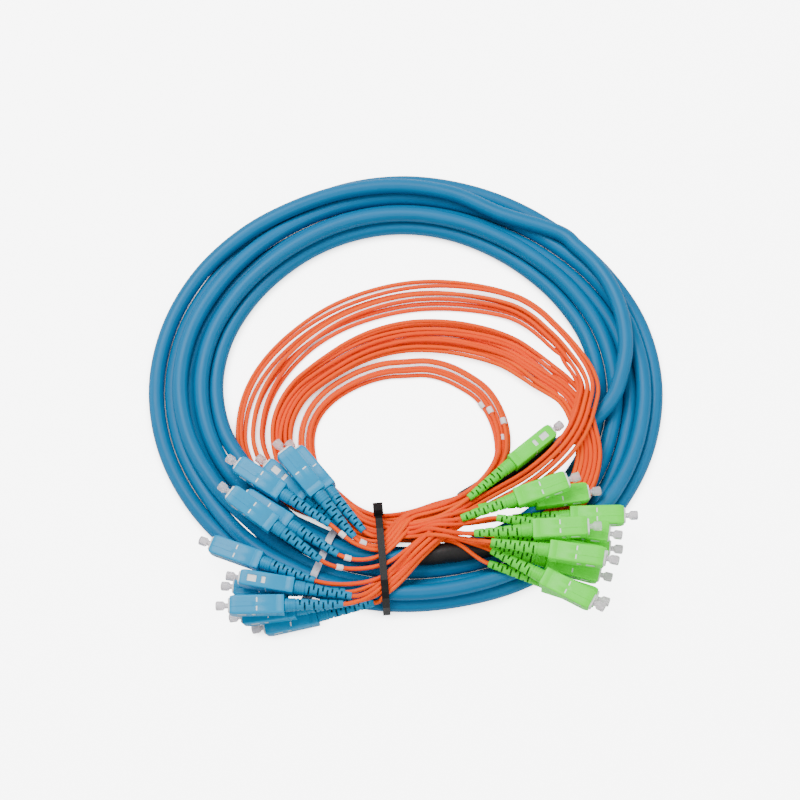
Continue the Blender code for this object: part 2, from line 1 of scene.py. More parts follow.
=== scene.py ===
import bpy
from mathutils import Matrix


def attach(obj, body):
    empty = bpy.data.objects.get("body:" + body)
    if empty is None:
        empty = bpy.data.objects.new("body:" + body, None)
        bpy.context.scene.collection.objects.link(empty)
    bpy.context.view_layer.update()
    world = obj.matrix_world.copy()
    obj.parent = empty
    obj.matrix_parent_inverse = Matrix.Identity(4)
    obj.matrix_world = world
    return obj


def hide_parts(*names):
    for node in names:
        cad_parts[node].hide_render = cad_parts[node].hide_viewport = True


bl_info = {
    "name": "Fibre Breakout Cable",
    "version": (1, 0, 0),
    "blender": (4, 5, 0),
    "location": "3D View > Sidebar > Cable",
    "description": "Builds a wound trunk cable with orange legs, slotted boots and push-pull connectors",
    "category": "Add Mesh",
}

import bpy
import numpy as np
from mathutils import Vector

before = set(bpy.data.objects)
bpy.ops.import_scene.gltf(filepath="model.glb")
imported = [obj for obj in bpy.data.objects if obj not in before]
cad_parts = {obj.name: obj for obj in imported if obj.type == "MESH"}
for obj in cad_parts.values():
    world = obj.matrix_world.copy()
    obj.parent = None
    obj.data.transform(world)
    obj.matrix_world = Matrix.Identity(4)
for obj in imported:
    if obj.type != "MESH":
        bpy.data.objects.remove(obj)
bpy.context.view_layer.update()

# Routes are in millimetres about the middle of the coil, as in the part's source
MM = 0.001
ROUTE_ORIGIN = np.array((-2.78, 0.34, -0.16))
POINTS_PER_SPAN = 16
# A distance that keeps a leg's own points from pushing on each other
FAR_OFF = 1000.0

TRUNK_DIAMETER = 7.4
LEG_DIAMETER = 2.0
CLEARANCE = 0.3
BOOT_LENGTH = 27.0
GRIP_LENGTH = 25.0

# The trunk's turns: distance from the middle and height at the right, top, left and bottom of each
COIL_CENTRE = (0.0, 5.5)
STEPS_PER_TURN = 24
FLOOR_HEIGHT = 3.7
UPPER_HEIGHT = 10.3
TIE_LIFT = 1.8
TIED_STEPS = (16, 17, 18)
TURNS = [
    ((106.5, 14.5), (102.0, UPPER_HEIGHT), (118.9, FLOOR_HEIGHT), (106.0, FLOOR_HEIGHT + TIE_LIFT)),
    ((125.5, FLOOR_HEIGHT), (106.0, FLOOR_HEIGHT), (111.2, FLOOR_HEIGHT), (102.2, UPPER_HEIGHT + TIE_LIFT)),
    ((119.0, 8.0), (98.4, FLOOR_HEIGHT), (107.3, UPPER_HEIGHT), (98.4, FLOOR_HEIGHT + TIE_LIFT)),
    ((112.6, FLOOR_HEIGHT), (90.8, FLOOR_HEIGHT), (103.5, FLOOR_HEIGHT), (90.8, FLOOR_HEIGHT + TIE_LIFT)),
    ((106.7, 5.0), (87.0, UPPER_HEIGHT), (97.2, 8.4), (83.2, FLOOR_HEIGHT + TIE_LIFT)),
    ((98.7, FLOOR_HEIGHT), (83.2, FLOOR_HEIGHT), (91.0, FLOOR_HEIGHT), (87.0, UPPER_HEIGHT + TIE_LIFT)),
]
QUARTER_FULLNESS = (
    (0.97, 0.97, 0.975, 1.01), (0.97, 0.97, 0.975, 1.01), (0.97, 0.97, 0.975, 1.04),
    (0.97, 0.97, 0.975, 1.05), (0.97, 0.97, 0.975, 1.0), (0.97, 0.97, 0.975, 1.0),
)
FIRST_STEP = 4
LAST_STEP = 136
# Settling: each round draws a turn to its wanted place and smooths it, and the last only push apart
TRUNK_SPACING = 0.5
SETTLE_ROUNDS = 500
PUSH_ONLY_ROUNDS = 60
PULL_SHARE = 0.02
SMOOTH_SHARE = 0.12
LEAD_IN = [
    (75, -26, 8.2), (84, -20.5, 9.6), (93.5, -13, 11.8), (101, -5, 15), (105.8, 7, 17), (108.6, 22, 17),
    (107.3, 38, 16.5), (102, 54, 15.5), (92, 69, 14), (77.5, 82.5, 12.5),
]
LEAD_OUT = [(-22, -79.5, 12.8), (-12, -81.2, 13.4), (-2, -81.8, 13.8), (7.6, -81.5, 14)]
LEAD_IN_STEP = 12.0
LEAD_OUT_STEP = 8.0
# The turns that the leads cross over: steps above the first and below the second
UNDER_LEAD_IN = 18
UNDER_LEAD_OUT = 122
TURN_SAMPLES = 12
LIFT_ROUNDS = 6
TRUNK_SAMPLES = 8

# Sleeves: the end that the trunk enters and the end that the legs leave
BLUE_SLEEVE = ((74.7, -26.2, 8.1), (29, -52.6, 5))
GREEN_SLEEVE = ((8, -81.4, 14), (44, -76.5, 13.7))
SLEEVE_RADIUS = 4.9
# Each sleeve's name, its ends and where the waves of its wrinkles start
SLEEVES = (("blue_end", BLUE_SLEEVE, 0.4), ("green_end", GREEN_SLEEVE, 2.1))

# Leg bundles: x, y, z, width and height along each loop
OUTER_LOOP = [
    (25.6, -57.4, 5.4, 5.2, 6.4), (18.6, -62, 5.4, 5.4, 6.4), (9, -66.8, 5.4, 5.8, 6.4),
    (-8, -69.2, 5.3, 6.1, 6.3), (-23.2, -65.9, 4.4, 6.3, 6.2), (-36.6, -57.8, 3.3, 7.4, 5.6),
    (-50.5, -50.5, 2.6, 10.5, 4.6), (-62.5, -40, 2.5, 12, 4.4), (-70.5, -27, 2.5, 16, 4.4),
    (-72, -14, 2.5, 17, 4.4), (-69, 1, 2.5, 17, 4.4), (-61, 16, 2.5, 16, 4.4), (-47, 31, 2.5, 15, 4.4),
    (-29, 43, 2.5, 16, 4.4), (-7, 51, 2.5, 18, 4.4), (15, 54, 2.5, 19, 4.4), (39, 52, 2.7, 17, 4.6),
    (60, 45, 4.4, 14, 5), (76, 29, 9, 12, 5.4), (85, 15, 14, 12, 5.2), (89.5, 3, 19, 12, 4.6),
    (88, -8, 22, 12, 4.4), (84.5, -19, 22.4, 12, 4.4), (76.5, -31, 20.2, 11.5, 4.4),
    (62.5, -43, 17, 10.5, 4.6), (48, -51.5, 16, 9.4, 4.6), (33, -60.2, 16.8, 8.4, 4.6),
    (19, -70.4, 19.4, 8.4, 4.4), (8, -80.4, 21.8, 9.4, 4),
]
INNER_LOOP = [
    (26.6, -50.2, 4, 3.9, 5.4), (18, -54, 3.2, 4.2, 5.4), (8, -57.6, 3, 5, 4.8), (-8, -60.8, 4.2, 5.8, 4.2),
    (-20.4, -57.2, 3.2, 6.6, 4.2), (-31, -49, 2.4, 7.6, 4.2), (-41, -38, 2.4, 9, 4.2),
    (-45, -25, 2.4, 9, 4.2), (-44, -13, 2.4, 9, 4.2), (-38, -2, 2.4, 9, 4.2), (-27, 7, 2.4, 9, 4.2),
    (-12, 14, 2.4, 10, 4.2), (2, 16, 2.4, 11, 4.2), (17, 16, 2.4, 12, 4.2), (31, 10, 2.4, 13, 4.2),
    (42, 1, 2.4, 13, 4.2), (48, -12, 2.4, 12, 4.2), (49.4, -23, 4.6, 9.6, 4.2), (48.4, -31, 10, 7.2, 4.4),
    (45.5, -38, 14, 6.6, 4.4), (40, -45.5, 14, 6.4, 4.4), (31, -52.6, 13.6, 6.4, 4.4),
    (19, -57.8, 13.4, 6.4, 4.3), (9, -60.4, 13.2, 6.2, 4.3),
]
GREEN_LOOP = [
    (44.6, -76.4, 13.7, 8, 6.6), (52, -76.2, 13, 9.4, 6), (61, -72, 11.8, 12, 4.8),
    (71.5, -64, 11.2, 13, 4.4), (81.5, -53.5, 11.6, 13, 4.4), (87.5, -42, 12.5, 13, 4.4),
    (89.5, -31, 14.9, 13, 4.4), (87, -19, 17.6, 12.4, 4.4), (83.8, -9, 16.6, 13, 4.4),
    (79, 1, 9.6, 14, 4.6), (69, 11, 4, 17, 5), (53, 23, 3.2, 20, 5.8), (35, 29, 3.4, 19, 6.3),
    (17, 31.5, 3.4, 17.5, 6.3), (0, 30.6, 3.4, 17, 6.3), (-17.5, 25.3, 3.4, 14.5, 6.3),
    (-34, 15.6, 3.4, 12.5, 6.3), (-49, 3, 3.4, 11.5, 6.3), (-56, -11, 3.4, 11.5, 6.3),
    (-56.5, -24, 3.6, 10.5, 6.3), (-50.5, -38, 7, 12.5, 4.6), (-40, -50.4, 8.8, 12.6, 4.4),
    (-27, -59.8, 10.8, 11.8, 4.4), (-17, -66.6, 13, 10, 6), (-8, -69, 13.8, 9.6, 6.3),
    (2, -69.4, 13.8, 9.6, 6.3),
]
LOOP_STEP = 10.0
LEG_SPACING = 0.1
THREE_LAYER_HEIGHT = 5.5
LEG_ROUNDS = 60
LEG_SMOOTH_SHARE = 0.1
LEG_SAMPLES = 4
# Legs change places along a bundle by a slow drift that fades out over the stations at its ends
WEAVE = 0.3
WEAVE_SMOOTHING = 12
WEAVE_FADE = 5

# Connectors: boot tip, heading and pitch in degrees, roll (90 puts a narrow side on top)
CONNECTORS = {
    "blue_a": ((-32.6, -68.6, 25.1), 146, -1.9, 0),
    "blue_b": ((-22.7, -70.8, 16.6), 140, -1.9, 90),
    "blue_c": ((-21.3, -74.1, 22.1), 129.5, 4.7, 0),
    "blue_d": ((-16.9, -70.3, 18.6), 129, -6.3, 0),
    "blue_e": ((-28.7, -82.2, 21.6), 147, -3, 0),
    "blue_f": ((-36.6, -85.7, 25.1), 144, 6.1, 0),
    "blue_g": ((-39.3, -94.5, 21.1), 159, -6.3, 0),
    "blue_h": ((-22.2, -102.2, 22.9), 171, 2.2, 90),
    "blue_i": ((-25.3, -99.4, 18.4), 175.5, -6.9, 0),
    "blue_j": ((-26, -105.9, 22.9), 181, 0.3, 0),
    "blue_k": ((-21.6, -103.8, 18.6), 186, -8.3, 0),
    "blue_l": ((-12.1, -102.8, 11), 191, -7.5, 0),
    "green_a": ((32.1, -54.8, 20.1), 40, -3.3, 90),
    "green_b": ((28.4, -65.8, 24.9), 19, 5.2, 0),
    "green_c": ((36.5, -59.7, 21.1), 9, -3.3, 0),
    "green_d": ((52.6, -63.3, 16.1), 0, 4.7, 0),
    "green_e": ((34.1, -74.6, 31.6), 2, 5.5, 0),
    "green_f": ((44.7, -66, 26.6), -8.5, 0.8, 0),
    "green_g": ((45.3, -73.1, 19.1), -6, -0.3, 0),
    "green_h": ((41.8, -78.9, 32.3), -10, 5.8, 0),
    "green_i": ((41.6, -78.2, 20.3), -14, -2.8, 0),
    "green_j": ((42.2, -81, 24.6), -29, 4.7, 0),
    "green_k": ((41.1, -85.6, 17.6), -19, 2.5, 0),
    "green_l": ((43.9, -73.3, 24.6), -14, 5.2, 0),
}

# Each bundle: its route, its CAD node, its sleeve and its legs in order across it
BUNDLES = (
    (OUTER_LOOP, "blue_legs_outer_loop", BLUE_SLEEVE, "blue", "fghijkl"),
    (INNER_LOOP, "blue_legs_inner_loop", BLUE_SLEEVE, "blue", "dbcae"),
    (GREEN_LOOP, "green_legs_loop", GREEN_SLEEVE, "green", "khjieflbgdca"),
)
# Points on each leg's way from the end of its bundle to its boot; the ones in the black tie stay put
FAN_POINTS = {
    "blue_d": [(1, -65.4, 18.2), (-9.1, -72.6, 18.4)],
    "blue_b": [(0, -66.6, 18.6), (-8.9, -74.8, 18.5)],
    "blue_c": [(0, -68.4, 18.6), (-8.7, -77, 18.6)],
    "blue_a": [(0, -70.2, 18.6), (-8.5, -79.2, 18.8)],
    "blue_e": [(0, -72.6, 18.6), (-8.3, -81.6, 18.9)],
    "blue_f": [(-8.1, -86.4, 19)],
    "blue_g": [(-7.5, -91.6, 19)],
    "blue_h": [(-7.3, -93.8, 18.9)],
    "blue_i": [(-7.4, -92.6, 16.8)],
    "blue_j": [(-7.1, -96, 18.6)],
    "blue_k": [(-6.9, -98, 17.9)],
    "blue_l": [(-6.8, -100, 17.1)],
    "green_h": [(15, -72.3, 22.8), (25, -74, 24.5), (34, -77, 29)],
    "green_e": [(15, -70.8, 22.8), (24, -72.3, 26)],
    "green_f": [(16, -69.5, 22.9), (26, -68.5, 24), (36, -66, 25.5)],
    "green_b": [(15, -68.2, 22.6), (21, -67.5, 23.6)],
    "green_c": [(16, -66.6, 22.4), (25, -63.5, 22.6)],
    "green_a": [(15, -65, 20.5), (23, -61.5, 21.8)],
    "green_k": [(17, -73, 14.5), (28, -77, 20.4), (35, -82, 20.2)],
    "green_j": [(17, -71.8, 15), (29, -75, 20.8), (35, -77, 24)],
    "green_i": [(17, -70.6, 14), (30, -73.6, 18)],
    "green_l": [(17, -69.4, 15.8), (30, -70.5, 20)],
    "green_g": [(17, -68.4, 14), (32, -70, 17)],
    "green_d": [(17, -67.2, 14.6), (34, -64.5, 15.6)],
}
# Settling of the fans: distances in millimetres, and shares of a move that are made in each round
FAN_STEP = 2.5
FAN_SAMPLES = 24
FEWEST_FAN_POINTS = 6
FAN_ROUNDS = 220
FAN_PULL = 0.01
FAN_SPACING = 0.06
FAN_STIFFNESS = 0.45
FAN_TENSION = 0.03
LEG_PUSH = 0.6
CABLE_PUSH = 0.8
TRUNK_GAP = 0.15
FLOOR_GAP = 0.2
# Only what lies in front of these lines is near the fans; boots and grips are rods of these radii
FRONT_TRUNK_Y = -35.0
FRONT_LEGS_Y = -40.0
BOOT_TIP_REACH = 1.8
BOOT_ROOT_REACH = 3.3
GRIP_REACH = 4.1
# How far a leg lies off its sleeve's axis and inside its mouth, straight before its boot and inside it
MOUTH_REACH = 2.9
MOUTH_DEPTH = 6.0
BOOT_APPROACH = 6.0
LEG_INSERTION = 10.0

# Number rings: leg and the place near which each sits on it. A ring is wider than its leg, so on the
# floor it lies off the leg's middle
RINGS = (
    ("blue_a", (-26, -73.5, 22)), ("blue_e", (-24, -83.5, 20)), ("blue_c", (-17.5, -77.5, 20)),
    ("blue_f", (-28, -90, 22)), ("blue_d", (41, -3, 2.4)), ("blue_b", (44.5, -7, 2.4)),
    ("blue_a", (50, -13, 2.4)), ("blue_c", (51, -19, 3)),
)
RING_RADIUS = 1.45
RING_LENGTH = 3.2
RING_EDGE = 0.1
RING_FIT = 0.02
RING_STATIONS = (-0.5, -0.5, -0.44, 0.44, 0.5, 0.5)
RING_AROUND = 20
# The end rows stand this share of a step outside their neighbours, so that a tube has a direction there
END_OFFSET = 0.01

routes = {}
finishes = {}


# Routes: where the trunk and the legs run, in millimetres


def smooth_path(points, per_span=POINTS_PER_SPAN):
    """Catmull-Rom curve through the points: on each span a cubic whose slope at a point is half the
    step between that point's two neighbours."""
    p = np.asarray(points, float)
    q = np.vstack([2 * p[0] - p[1], p, 2 * p[-1] - p[-2]])
    t = np.linspace(0, 1, per_span, endpoint=False)[:, None]
    spans = []
    for a, b, c, d in zip(q[:-3], q[1:-2], q[2:-1], q[3:]):
        spans.append(0.5 * (2 * b + (c - a) * t + (2 * a - 5 * b + 4 * c - d) * t ** 2
                            + (3 * b - a - 3 * c + d) * t ** 3))
    return np.vstack(spans + [p[-1:]])


def distance_along(points):
    """Length of a path up to each of its points: the sum of the steps before it."""
    return np.r_[0, np.cumsum(np.linalg.norm(np.diff(points[:, :3], axis=0), axis=1))]


def evenly(points, step):
    """The smooth curve through the points, read off at even distances of about step."""
    p = smooth_path(points)
    along = distance_along(p)
    wanted = np.linspace(0, along[-1], max(2, int(round(along[-1] / step)) + 1))
    return np.column_stack([np.interp(wanted, along, p[:, k]) for k in range(p.shape[1])])


def wanted_turns():
    """Distance from the middle and height of the turns before they press on each other: in each
    quarter the outline is an ellipse through its two stations, pulled in a little half way."""
    step = np.arange(FIRST_STEP, LAST_STEP + 1)
    stations = np.array([s for turn in TURNS for s in turn] + [TURNS[-1][0]])
    quarter = STEPS_PER_TURN // 4
    k = step // quarter
    turned = (step % quarter) / quarter * np.pi / 2
    a = stations[k]
    b = stations[k + 1]
    distance = a[:, 0] * b[:, 0] / np.hypot(b[:, 0] * np.cos(turned), a[:, 0] * np.sin(turned))
    fullness = np.array(QUARTER_FULLNESS).ravel()[k]
    distance *= 1 - (1 - fullness) * np.sin(2 * turned) ** 2
    share = np.sin(turned) ** 2
    return step, np.column_stack([distance, a[:, 1] * (1 - share) + b[:, 1] * share])


def settled_turns():
    """Turns pushed a diameter apart, kept smooth along the cable and above the floor."""
    step, wanted = wanted_turns()
    place = wanted.copy()
    tied = np.isin(step % STEPS_PER_TURN, TIED_STEPS)
    floor = np.where(tied, TRUNK_DIAMETER / 2 + TIE_LIFT, TRUNK_DIAMETER / 2)
    apart = TRUNK_DIAMETER + TRUNK_SPACING
    for count in range(SETTLE_ROUNDS):
        place += PULL_SHARE * (wanted - place)
        if count < SETTLE_ROUNDS - PUSH_ONLY_ROUNDS:
            place[1:-1] += SMOOTH_SHARE * (place[:-2] + place[2:] - 2 * place[1:-1])
        for turns in range(1, len(TURNS)):
            outer = np.arange(turns * STEPS_PER_TURN, len(step))
            inner = outer - turns * STEPS_PER_TURN
            away = place[outer] - place[inner]
            distance = np.maximum(np.linalg.norm(away, axis=1), 1e-6)[:, None]
            push = 0.5 * np.clip(apart - distance, 0, None) * away / distance
            place[inner] -= push
            place[outer] += push
        place[:, 1] = np.maximum(place[:, 1], floor)
    angle = 2 * np.pi * step / STEPS_PER_TURN
    x = COIL_CENTRE[0] + place[:, 0] * np.cos(angle)
    y = COIL_CENTRE[1] + place[:, 0] * np.sin(angle)
    return step, np.column_stack([x, y, place[:, 1]])


def lifted_over(path, below, apart):
    """The path with each point raised until it lies apart above the strands below it."""
    flat = np.linalg.norm(path[:, None, :2] - below[None, :, :2], axis=2)
    reach = np.sqrt(np.clip(apart ** 2 - flat ** 2, 0, None))
    need = np.where(flat < apart, below[None, :, 2] + reach, 0).max(axis=1)
    height = np.maximum(path[:, 2], need)
    for _ in range(LIFT_ROUNDS):
        height[1:-1] = np.maximum(need[1:-1], (height[:-2] + height[2:] + 2 * height[1:-1]) / 4)
    return np.column_stack([path[:, :2], height])


def trunk_route():
    """Centre line of the trunk from the blue end's sleeve to the green end's sleeve."""
    step, wound = settled_turns()
    apart = TRUNK_DIAMETER + TRUNK_SPACING
    dense = smooth_path(wound, TURN_SAMPLES)
    dense_step = np.interp(np.arange(len(dense)) / TURN_SAMPLES, np.arange(len(step)), step)
    lead_in = lifted_over(evenly(LEAD_IN, LEAD_IN_STEP), dense[dense_step > UNDER_LEAD_IN], apart)
    lead_out = lifted_over(evenly(LEAD_OUT, LEAD_OUT_STEP), dense[dense_step < UNDER_LEAD_OUT], apart)
    return np.vstack([lead_in, wound, lead_out])


def frames(path):
    """Unit vectors along, across (level) and up at each point of a path."""
    along = np.gradient(path[:, :3], axis=0)
    along /= np.linalg.norm(along, axis=1)[:, None]
    across = np.cross([0, 0, 1], along)
    across /= np.linalg.norm(across, axis=1)[:, None]
    return along, across, np.cross(along, across)


def leg_offsets(stations, count):
    """Sideways and upward place of each leg at each station of a bundle, in millimetres: its rank in
    the bundle with a slow drift, pushed until no two are less than a diameter apart."""
    radius = LEG_DIAMETER / 2
    rank = np.linspace(-1, 1, count)
    three_layers = stations[:, 4:5] > THREE_LAYER_HEIGHT
    leg = np.arange(count)
    layer = np.where(three_layers, (leg * 2) % 3 - 1, (leg % 2) * 2 - 1)
    reach = stations[:, 3:5] / 2 - radius
    drift = np.random.default_rng(count).normal(0, 1, (len(stations), count))
    for _ in range(WEAVE_SMOOTHING):
        drift[1:-1] = (drift[:-2] + drift[2:] + 2 * drift[1:-1]) / 4
    station = np.arange(len(stations))
    fade = np.clip(np.minimum(station, station[::-1]) / WEAVE_FADE, 0, 1)
    drift *= WEAVE * fade[:, None] / drift.std()
    place = np.stack([(rank + drift) * reach[:, :1], layer * reach[:, 1:]], axis=2)
    apart = 2 * radius + LEG_SPACING
    for _ in range(LEG_ROUNDS):
        place[1:-1] += LEG_SMOOTH_SHARE * (place[:-2] + place[2:] - 2 * place[1:-1])
        away = place[:, :, None] - place[:, None]
        distance = np.linalg.norm(away, axis=3) + np.eye(count) * FAR_OFF
        push = 0.5 * np.clip(apart - distance, 0, None)[..., None] * away / distance[..., None]
        place = np.clip(place + push.sum(axis=2), -reach[:, None], reach[:, None])
    return place


def bundle_legs(route, count):
    """Centre line of each leg of a bundle, at the same stations as the bundle's solid."""
    stations = evenly(route, LOOP_STEP)
    _, across, up = frames(stations)
    place = leg_offsets(stations, count)
    return stations[:, None, :3] + place[..., :1] * across[:, None] + place[..., 1:] * up[:, None]


def connector_axes(name):
    """Boot tip of a connector and the matrix whose columns are its forward, wide and thick ways."""
    tip, heading, pitch, roll = CONNECTORS[name]
    h, p, r = np.radians((heading, pitch, roll))
    turn_z = np.array([[np.cos(h), -np.sin(h), 0], [np.sin(h), np.cos(h), 0], [0, 0, 1]])
    turn_y = np.array([[np.cos(p), 0, -np.sin(p)], [0, 1, 0], [np.sin(p), 0, np.cos(p)]])
    turn_x = np.array([[1, 0, 0], [0, np.cos(r), -np.sin(r)], [0, np.sin(r), np.cos(r)]])
    return np.array(tip, float), turn_z @ turn_y @ turn_x


def fan_route(name, last, before):
    """First guess at a leg's way from its bundle to its boot, and which of its points stay put."""
    tip, axes = connector_axes(name)
    forward = axes[:, 0]
    entry = tip - BOOT_APPROACH * forward
    way = [before, last] + [np.array(p, float) for p in FAN_POINTS[name]] + [entry, tip]
    dense = smooth_path(way, FAN_SAMPLES)[FAN_SAMPLES:]
    along = distance_along(dense)
    count = max(FEWEST_FAN_POINTS, int(round(along[-1] / FAN_STEP)) + 1)
    wanted = np.linspace(0, along[-1], count)
    points = np.column_stack([np.interp(wanted, along, dense[:, k]) for k in range(3)])
    stays = np.zeros(len(points), bool)
    stays[0] = True
    stays[-1] = True
    if name.startswith("blue"):
        held = np.array(FAN_POINTS[name][-1], float)
        nearest = np.argmin(np.linalg.norm(points - held, axis=1))
        points[nearest] = held
        stays[nearest] = True
    inside = tip + np.outer((1, 2), FAN_STEP * forward)
    return np.vstack([before, points, inside]), np.r_[True, stays, True, True]


def pushed_out(points, centres, reach, share):
    """A share of the move that takes points out of the spheres of the given reach about the centres:
    the mean of the moves away from those that a point lies in."""
    away = points[:, None] - centres[None]
    distance = np.maximum(np.linalg.norm(away, axis=2), 1e-6)
    deep = np.clip(reach - distance, 0, None)
    touching = np.maximum((deep > 0).sum(axis=1), 1)
    return share * (away / distance[..., None] * deep[..., None]).sum(axis=1) / touching[:, None]


def out_of_rods(points, owner, rods):
    """Move that takes points out of round rods given as start, end, radius at each and owner."""
    start = np.array([r[0] for r in rods])
    span = np.array([r[1] for r in rods]) - start
    near_radius = np.array([r[2] for r in rods])
    far_radius = np.array([r[3] for r in rods])
    mine = np.array([r[4] for r in rods])
    along = np.clip(((points[:, None] - start) * span).sum(axis=2) / (span ** 2).sum(axis=1), 0, 1)
    away = points[:, None] - start - along[..., None] * span
    distance = np.maximum(np.linalg.norm(away, axis=2), 1e-6)
    radius = near_radius + along * (far_radius - near_radius) + LEG_DIAMETER / 2
    deep = np.where(owner[:, None] == mine[None], 0, np.clip(radius - distance, 0, None))
    touching = np.maximum((deep > 0).sum(axis=1), 1)
    return (away / distance[..., None] * deep[..., None]).sum(axis=1) / touching[:, None]


def settled_fans(fans, solid, rods):
    """Legs between bundle and boot: kept smooth, drawn down, and pushed out of each other, of the
    cables below them and of the boots, grips and sleeves beside them. Bend is each point's distance
    from the middle of its neighbours, and a leg straightens by the change of bend along it."""
    names = list(fans)
    counts = [len(fans[n][0]) for n in names]
    owner = np.repeat(np.arange(len(names)), counts)
    points = np.vstack([fans[n][0] for n in names])
    free = ~np.concatenate([fans[n][1] for n in names])
    same_leg = np.where(owner[:, None] == owner[None], FAR_OFF, 0)
    apart = LEG_DIAMETER + FAN_SPACING - same_leg
    for _ in range(FAN_ROUNDS):
        bend = (np.roll(points, 1, axis=0) + np.roll(points, -1, axis=0)) / 2 - points
        change = bend - (np.roll(bend, 1, axis=0) + np.roll(bend, -1, axis=0)) / 2
        move = FAN_STIFFNESS * change + FAN_TENSION * bend
        move[:, 2] -= FAN_PULL
        points[free] += move[free]
        move = pushed_out(points, points, apart, LEG_PUSH)
        for centres, reach in solid:
            move += pushed_out(points, centres, reach, CABLE_PUSH)
        move += out_of_rods(points, owner, rods)
        points[free] += move[free]
        points[:, 2] = np.maximum(points[:, 2], LEG_DIAMETER / 2 + FLOOR_GAP)
    ends = np.cumsum(counts)[:-1]
    return dict(zip(names, np.split(points, ends)))


def leg_routes(trunk):
    """Centre line of all twenty-four legs, from their sleeves into their boots."""
    legs = {}
    fans = {}
    strands = []
    for route, _, sleeve, colour, order in BUNDLES:
        lines = bundle_legs(route, len(order))
        mouth = np.array(sleeve[1], float)
        axis = mouth - np.array(sleeve[0], float)
        axis /= np.linalg.norm(axis)
        for k, letter in enumerate(order):
            name = f"{colour}_{letter}"
            aside = lines[0, k] - mouth
            aside -= (aside @ axis) * axis
            aside *= min(1, MOUTH_REACH / np.linalg.norm(aside))
            start = np.array([mouth - MOUTH_DEPTH * axis + aside, mouth + axis + aside])
            line = smooth_path(np.vstack([start, lines[1:, k]]), LEG_SAMPLES)
            line[:, 2] = np.maximum(line[:, 2], LEG_DIAMETER / 2 - ROUTE_ORIGIN[2])
            legs[name] = line
            strands.append(line[:-LEG_SAMPLES])
            fans[name] = fan_route(name, line[-1], line[-2])
    dense_trunk = evenly(trunk, FAN_STEP)
    front = dense_trunk[dense_trunk[:, 1] < FRONT_TRUNK_Y]
    laid = np.vstack(strands)
    laid = laid[laid[:, 1] < FRONT_LEGS_Y]
    solid = [(front, TRUNK_DIAMETER / 2 + LEG_DIAMETER / 2 + TRUNK_GAP), (laid, LEG_DIAMETER + FAN_SPACING)]
    rods = []
    for owner, name in enumerate(fans):
        tip, axes = connector_axes(name)
        root = tip + BOOT_LENGTH * axes[:, 0]
        front_end = root + GRIP_LENGTH * axes[:, 0]
        rods.append((tip, root, BOOT_TIP_REACH, BOOT_ROOT_REACH, owner))
        rods.append((root, front_end, GRIP_REACH, GRIP_REACH, owner))
    for start, end in (BLUE_SLEEVE, GREEN_SLEEVE):
        rods.append((np.array(start, float), np.array(end, float), SLEEVE_RADIUS, SLEEVE_RADIUS, -1))
    laid_fans = settled_fans(fans, solid, rods)
    for name, fan in laid_fans.items():
        tip, axes = connector_axes(name)
        inside = tip + np.outer((0.75 * LEG_INSERTION, LEG_INSERTION), axes[:, 0])
        legs[name] = np.vstack([legs[name][:-2], fan, inside])
    return legs


# Meshes: one unit of UV along a piece is UV_LENGTH millimetres
UV_LENGTH = 100
SHARP_ANGLE = 0.7


def to_metres(points):
    """Points of a route in the part's own frame."""
    return (np.asarray(points, float) + ROUTE_ORIGIN) * MM


def skin(name, points, material, lengthwise=None, masks=None):
    """Mesh over rows of points that run round a form, one row for each station along it, with a face
    over each end. UV is the share round the form and the distance along it."""
    rows, around = points.shape[:2]
    i = np.arange(rows - 1)[:, None]
    j = np.arange(around)[None]
    after = (j + 1) % around
    near, far = i * around, (i + 1) * around
    quads = np.stack([near + j, near + after, far + after, far + j], axis=-1)
    faces = quads.reshape(-1, 4).tolist()
    faces.append(list(range(around))[::-1])
    faces.append(list(range((rows - 1) * around, rows * around)))
    mesh = bpy.data.meshes.new(name)
    mesh.from_pydata(to_metres(points).reshape(-1, 3).tolist(), [], faces)
    if lengthwise is None:
        lengthwise = distance_along(points.mean(axis=1))
    u = np.broadcast_to(np.stack([j, j + 1, j + 1, j], axis=-1) / around, quads.shape)
    v = np.stack([lengthwise[:-1], lengthwise[:-1], lengthwise[1:], lengthwise[1:]], axis=-1)
    v = np.broadcast_to(v[:, None], quads.shape) / UV_LENGTH
    uv = np.zeros((len(mesh.loops), 2))
    uv[:quads.size] = np.stack([u, v], axis=-1).reshape(-1, 2)
    mesh.uv_layers.new(name="UVMap").data.foreach_set("uv", uv.ravel())
    for mask, values in (masks or {}).items():
        attribute = mesh.attributes.new(mask, "FLOAT", "POINT")
        attribute.data.foreach_set("value", np.broadcast_to(values, (rows, around)).astype(float).ravel())
    mesh.materials.append(material)
    mesh.shade_smooth()
    mesh.set_sharp_from_angle(angle=SHARP_ANGLE)
    return mesh


def add_piece(name, points, material, replaced=(), lengthwise=None, masks=None):
    """A piece of the cable with its skin and the nodes of the part that it stands for."""
    piece = bpy.data.objects.new(name, skin(name, points, material, lengthwise, masks))
    bpy.context.scene.collection.objects.link(piece)
    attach(piece, "root")
    for node in replaced:
        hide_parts(node)
    return piece


def tube_rows(path, radius, around):
    """Rows of points round a path: each ring is a circle of the given radius across the path, with
    its seam underneath."""
    _, across, up = frames(path)
    angle = 2 * np.pi * np.arange(around) / around - np.pi / 2
    ring = np.cos(angle)[None, :, None] * across[:, None] + np.sin(angle)[None, :, None] * up[:, None]
    return path[:, None] + np.broadcast_to(radius, (len(path),))[:, None, None] * ring


def turned_rows(profile, around):
    """Rows of points of a profile of (distance ahead, radius) turned about the forward axis."""
    angle = 2 * np.pi * np.arange(around) / around - np.pi / 2
    x, r = np.array(profile, float).T
    return np.stack([np.broadcast_to(x[:, None], (len(x), around)), r[:, None] * np.cos(angle),
                     r[:, None] * np.sin(angle)], axis=-1)


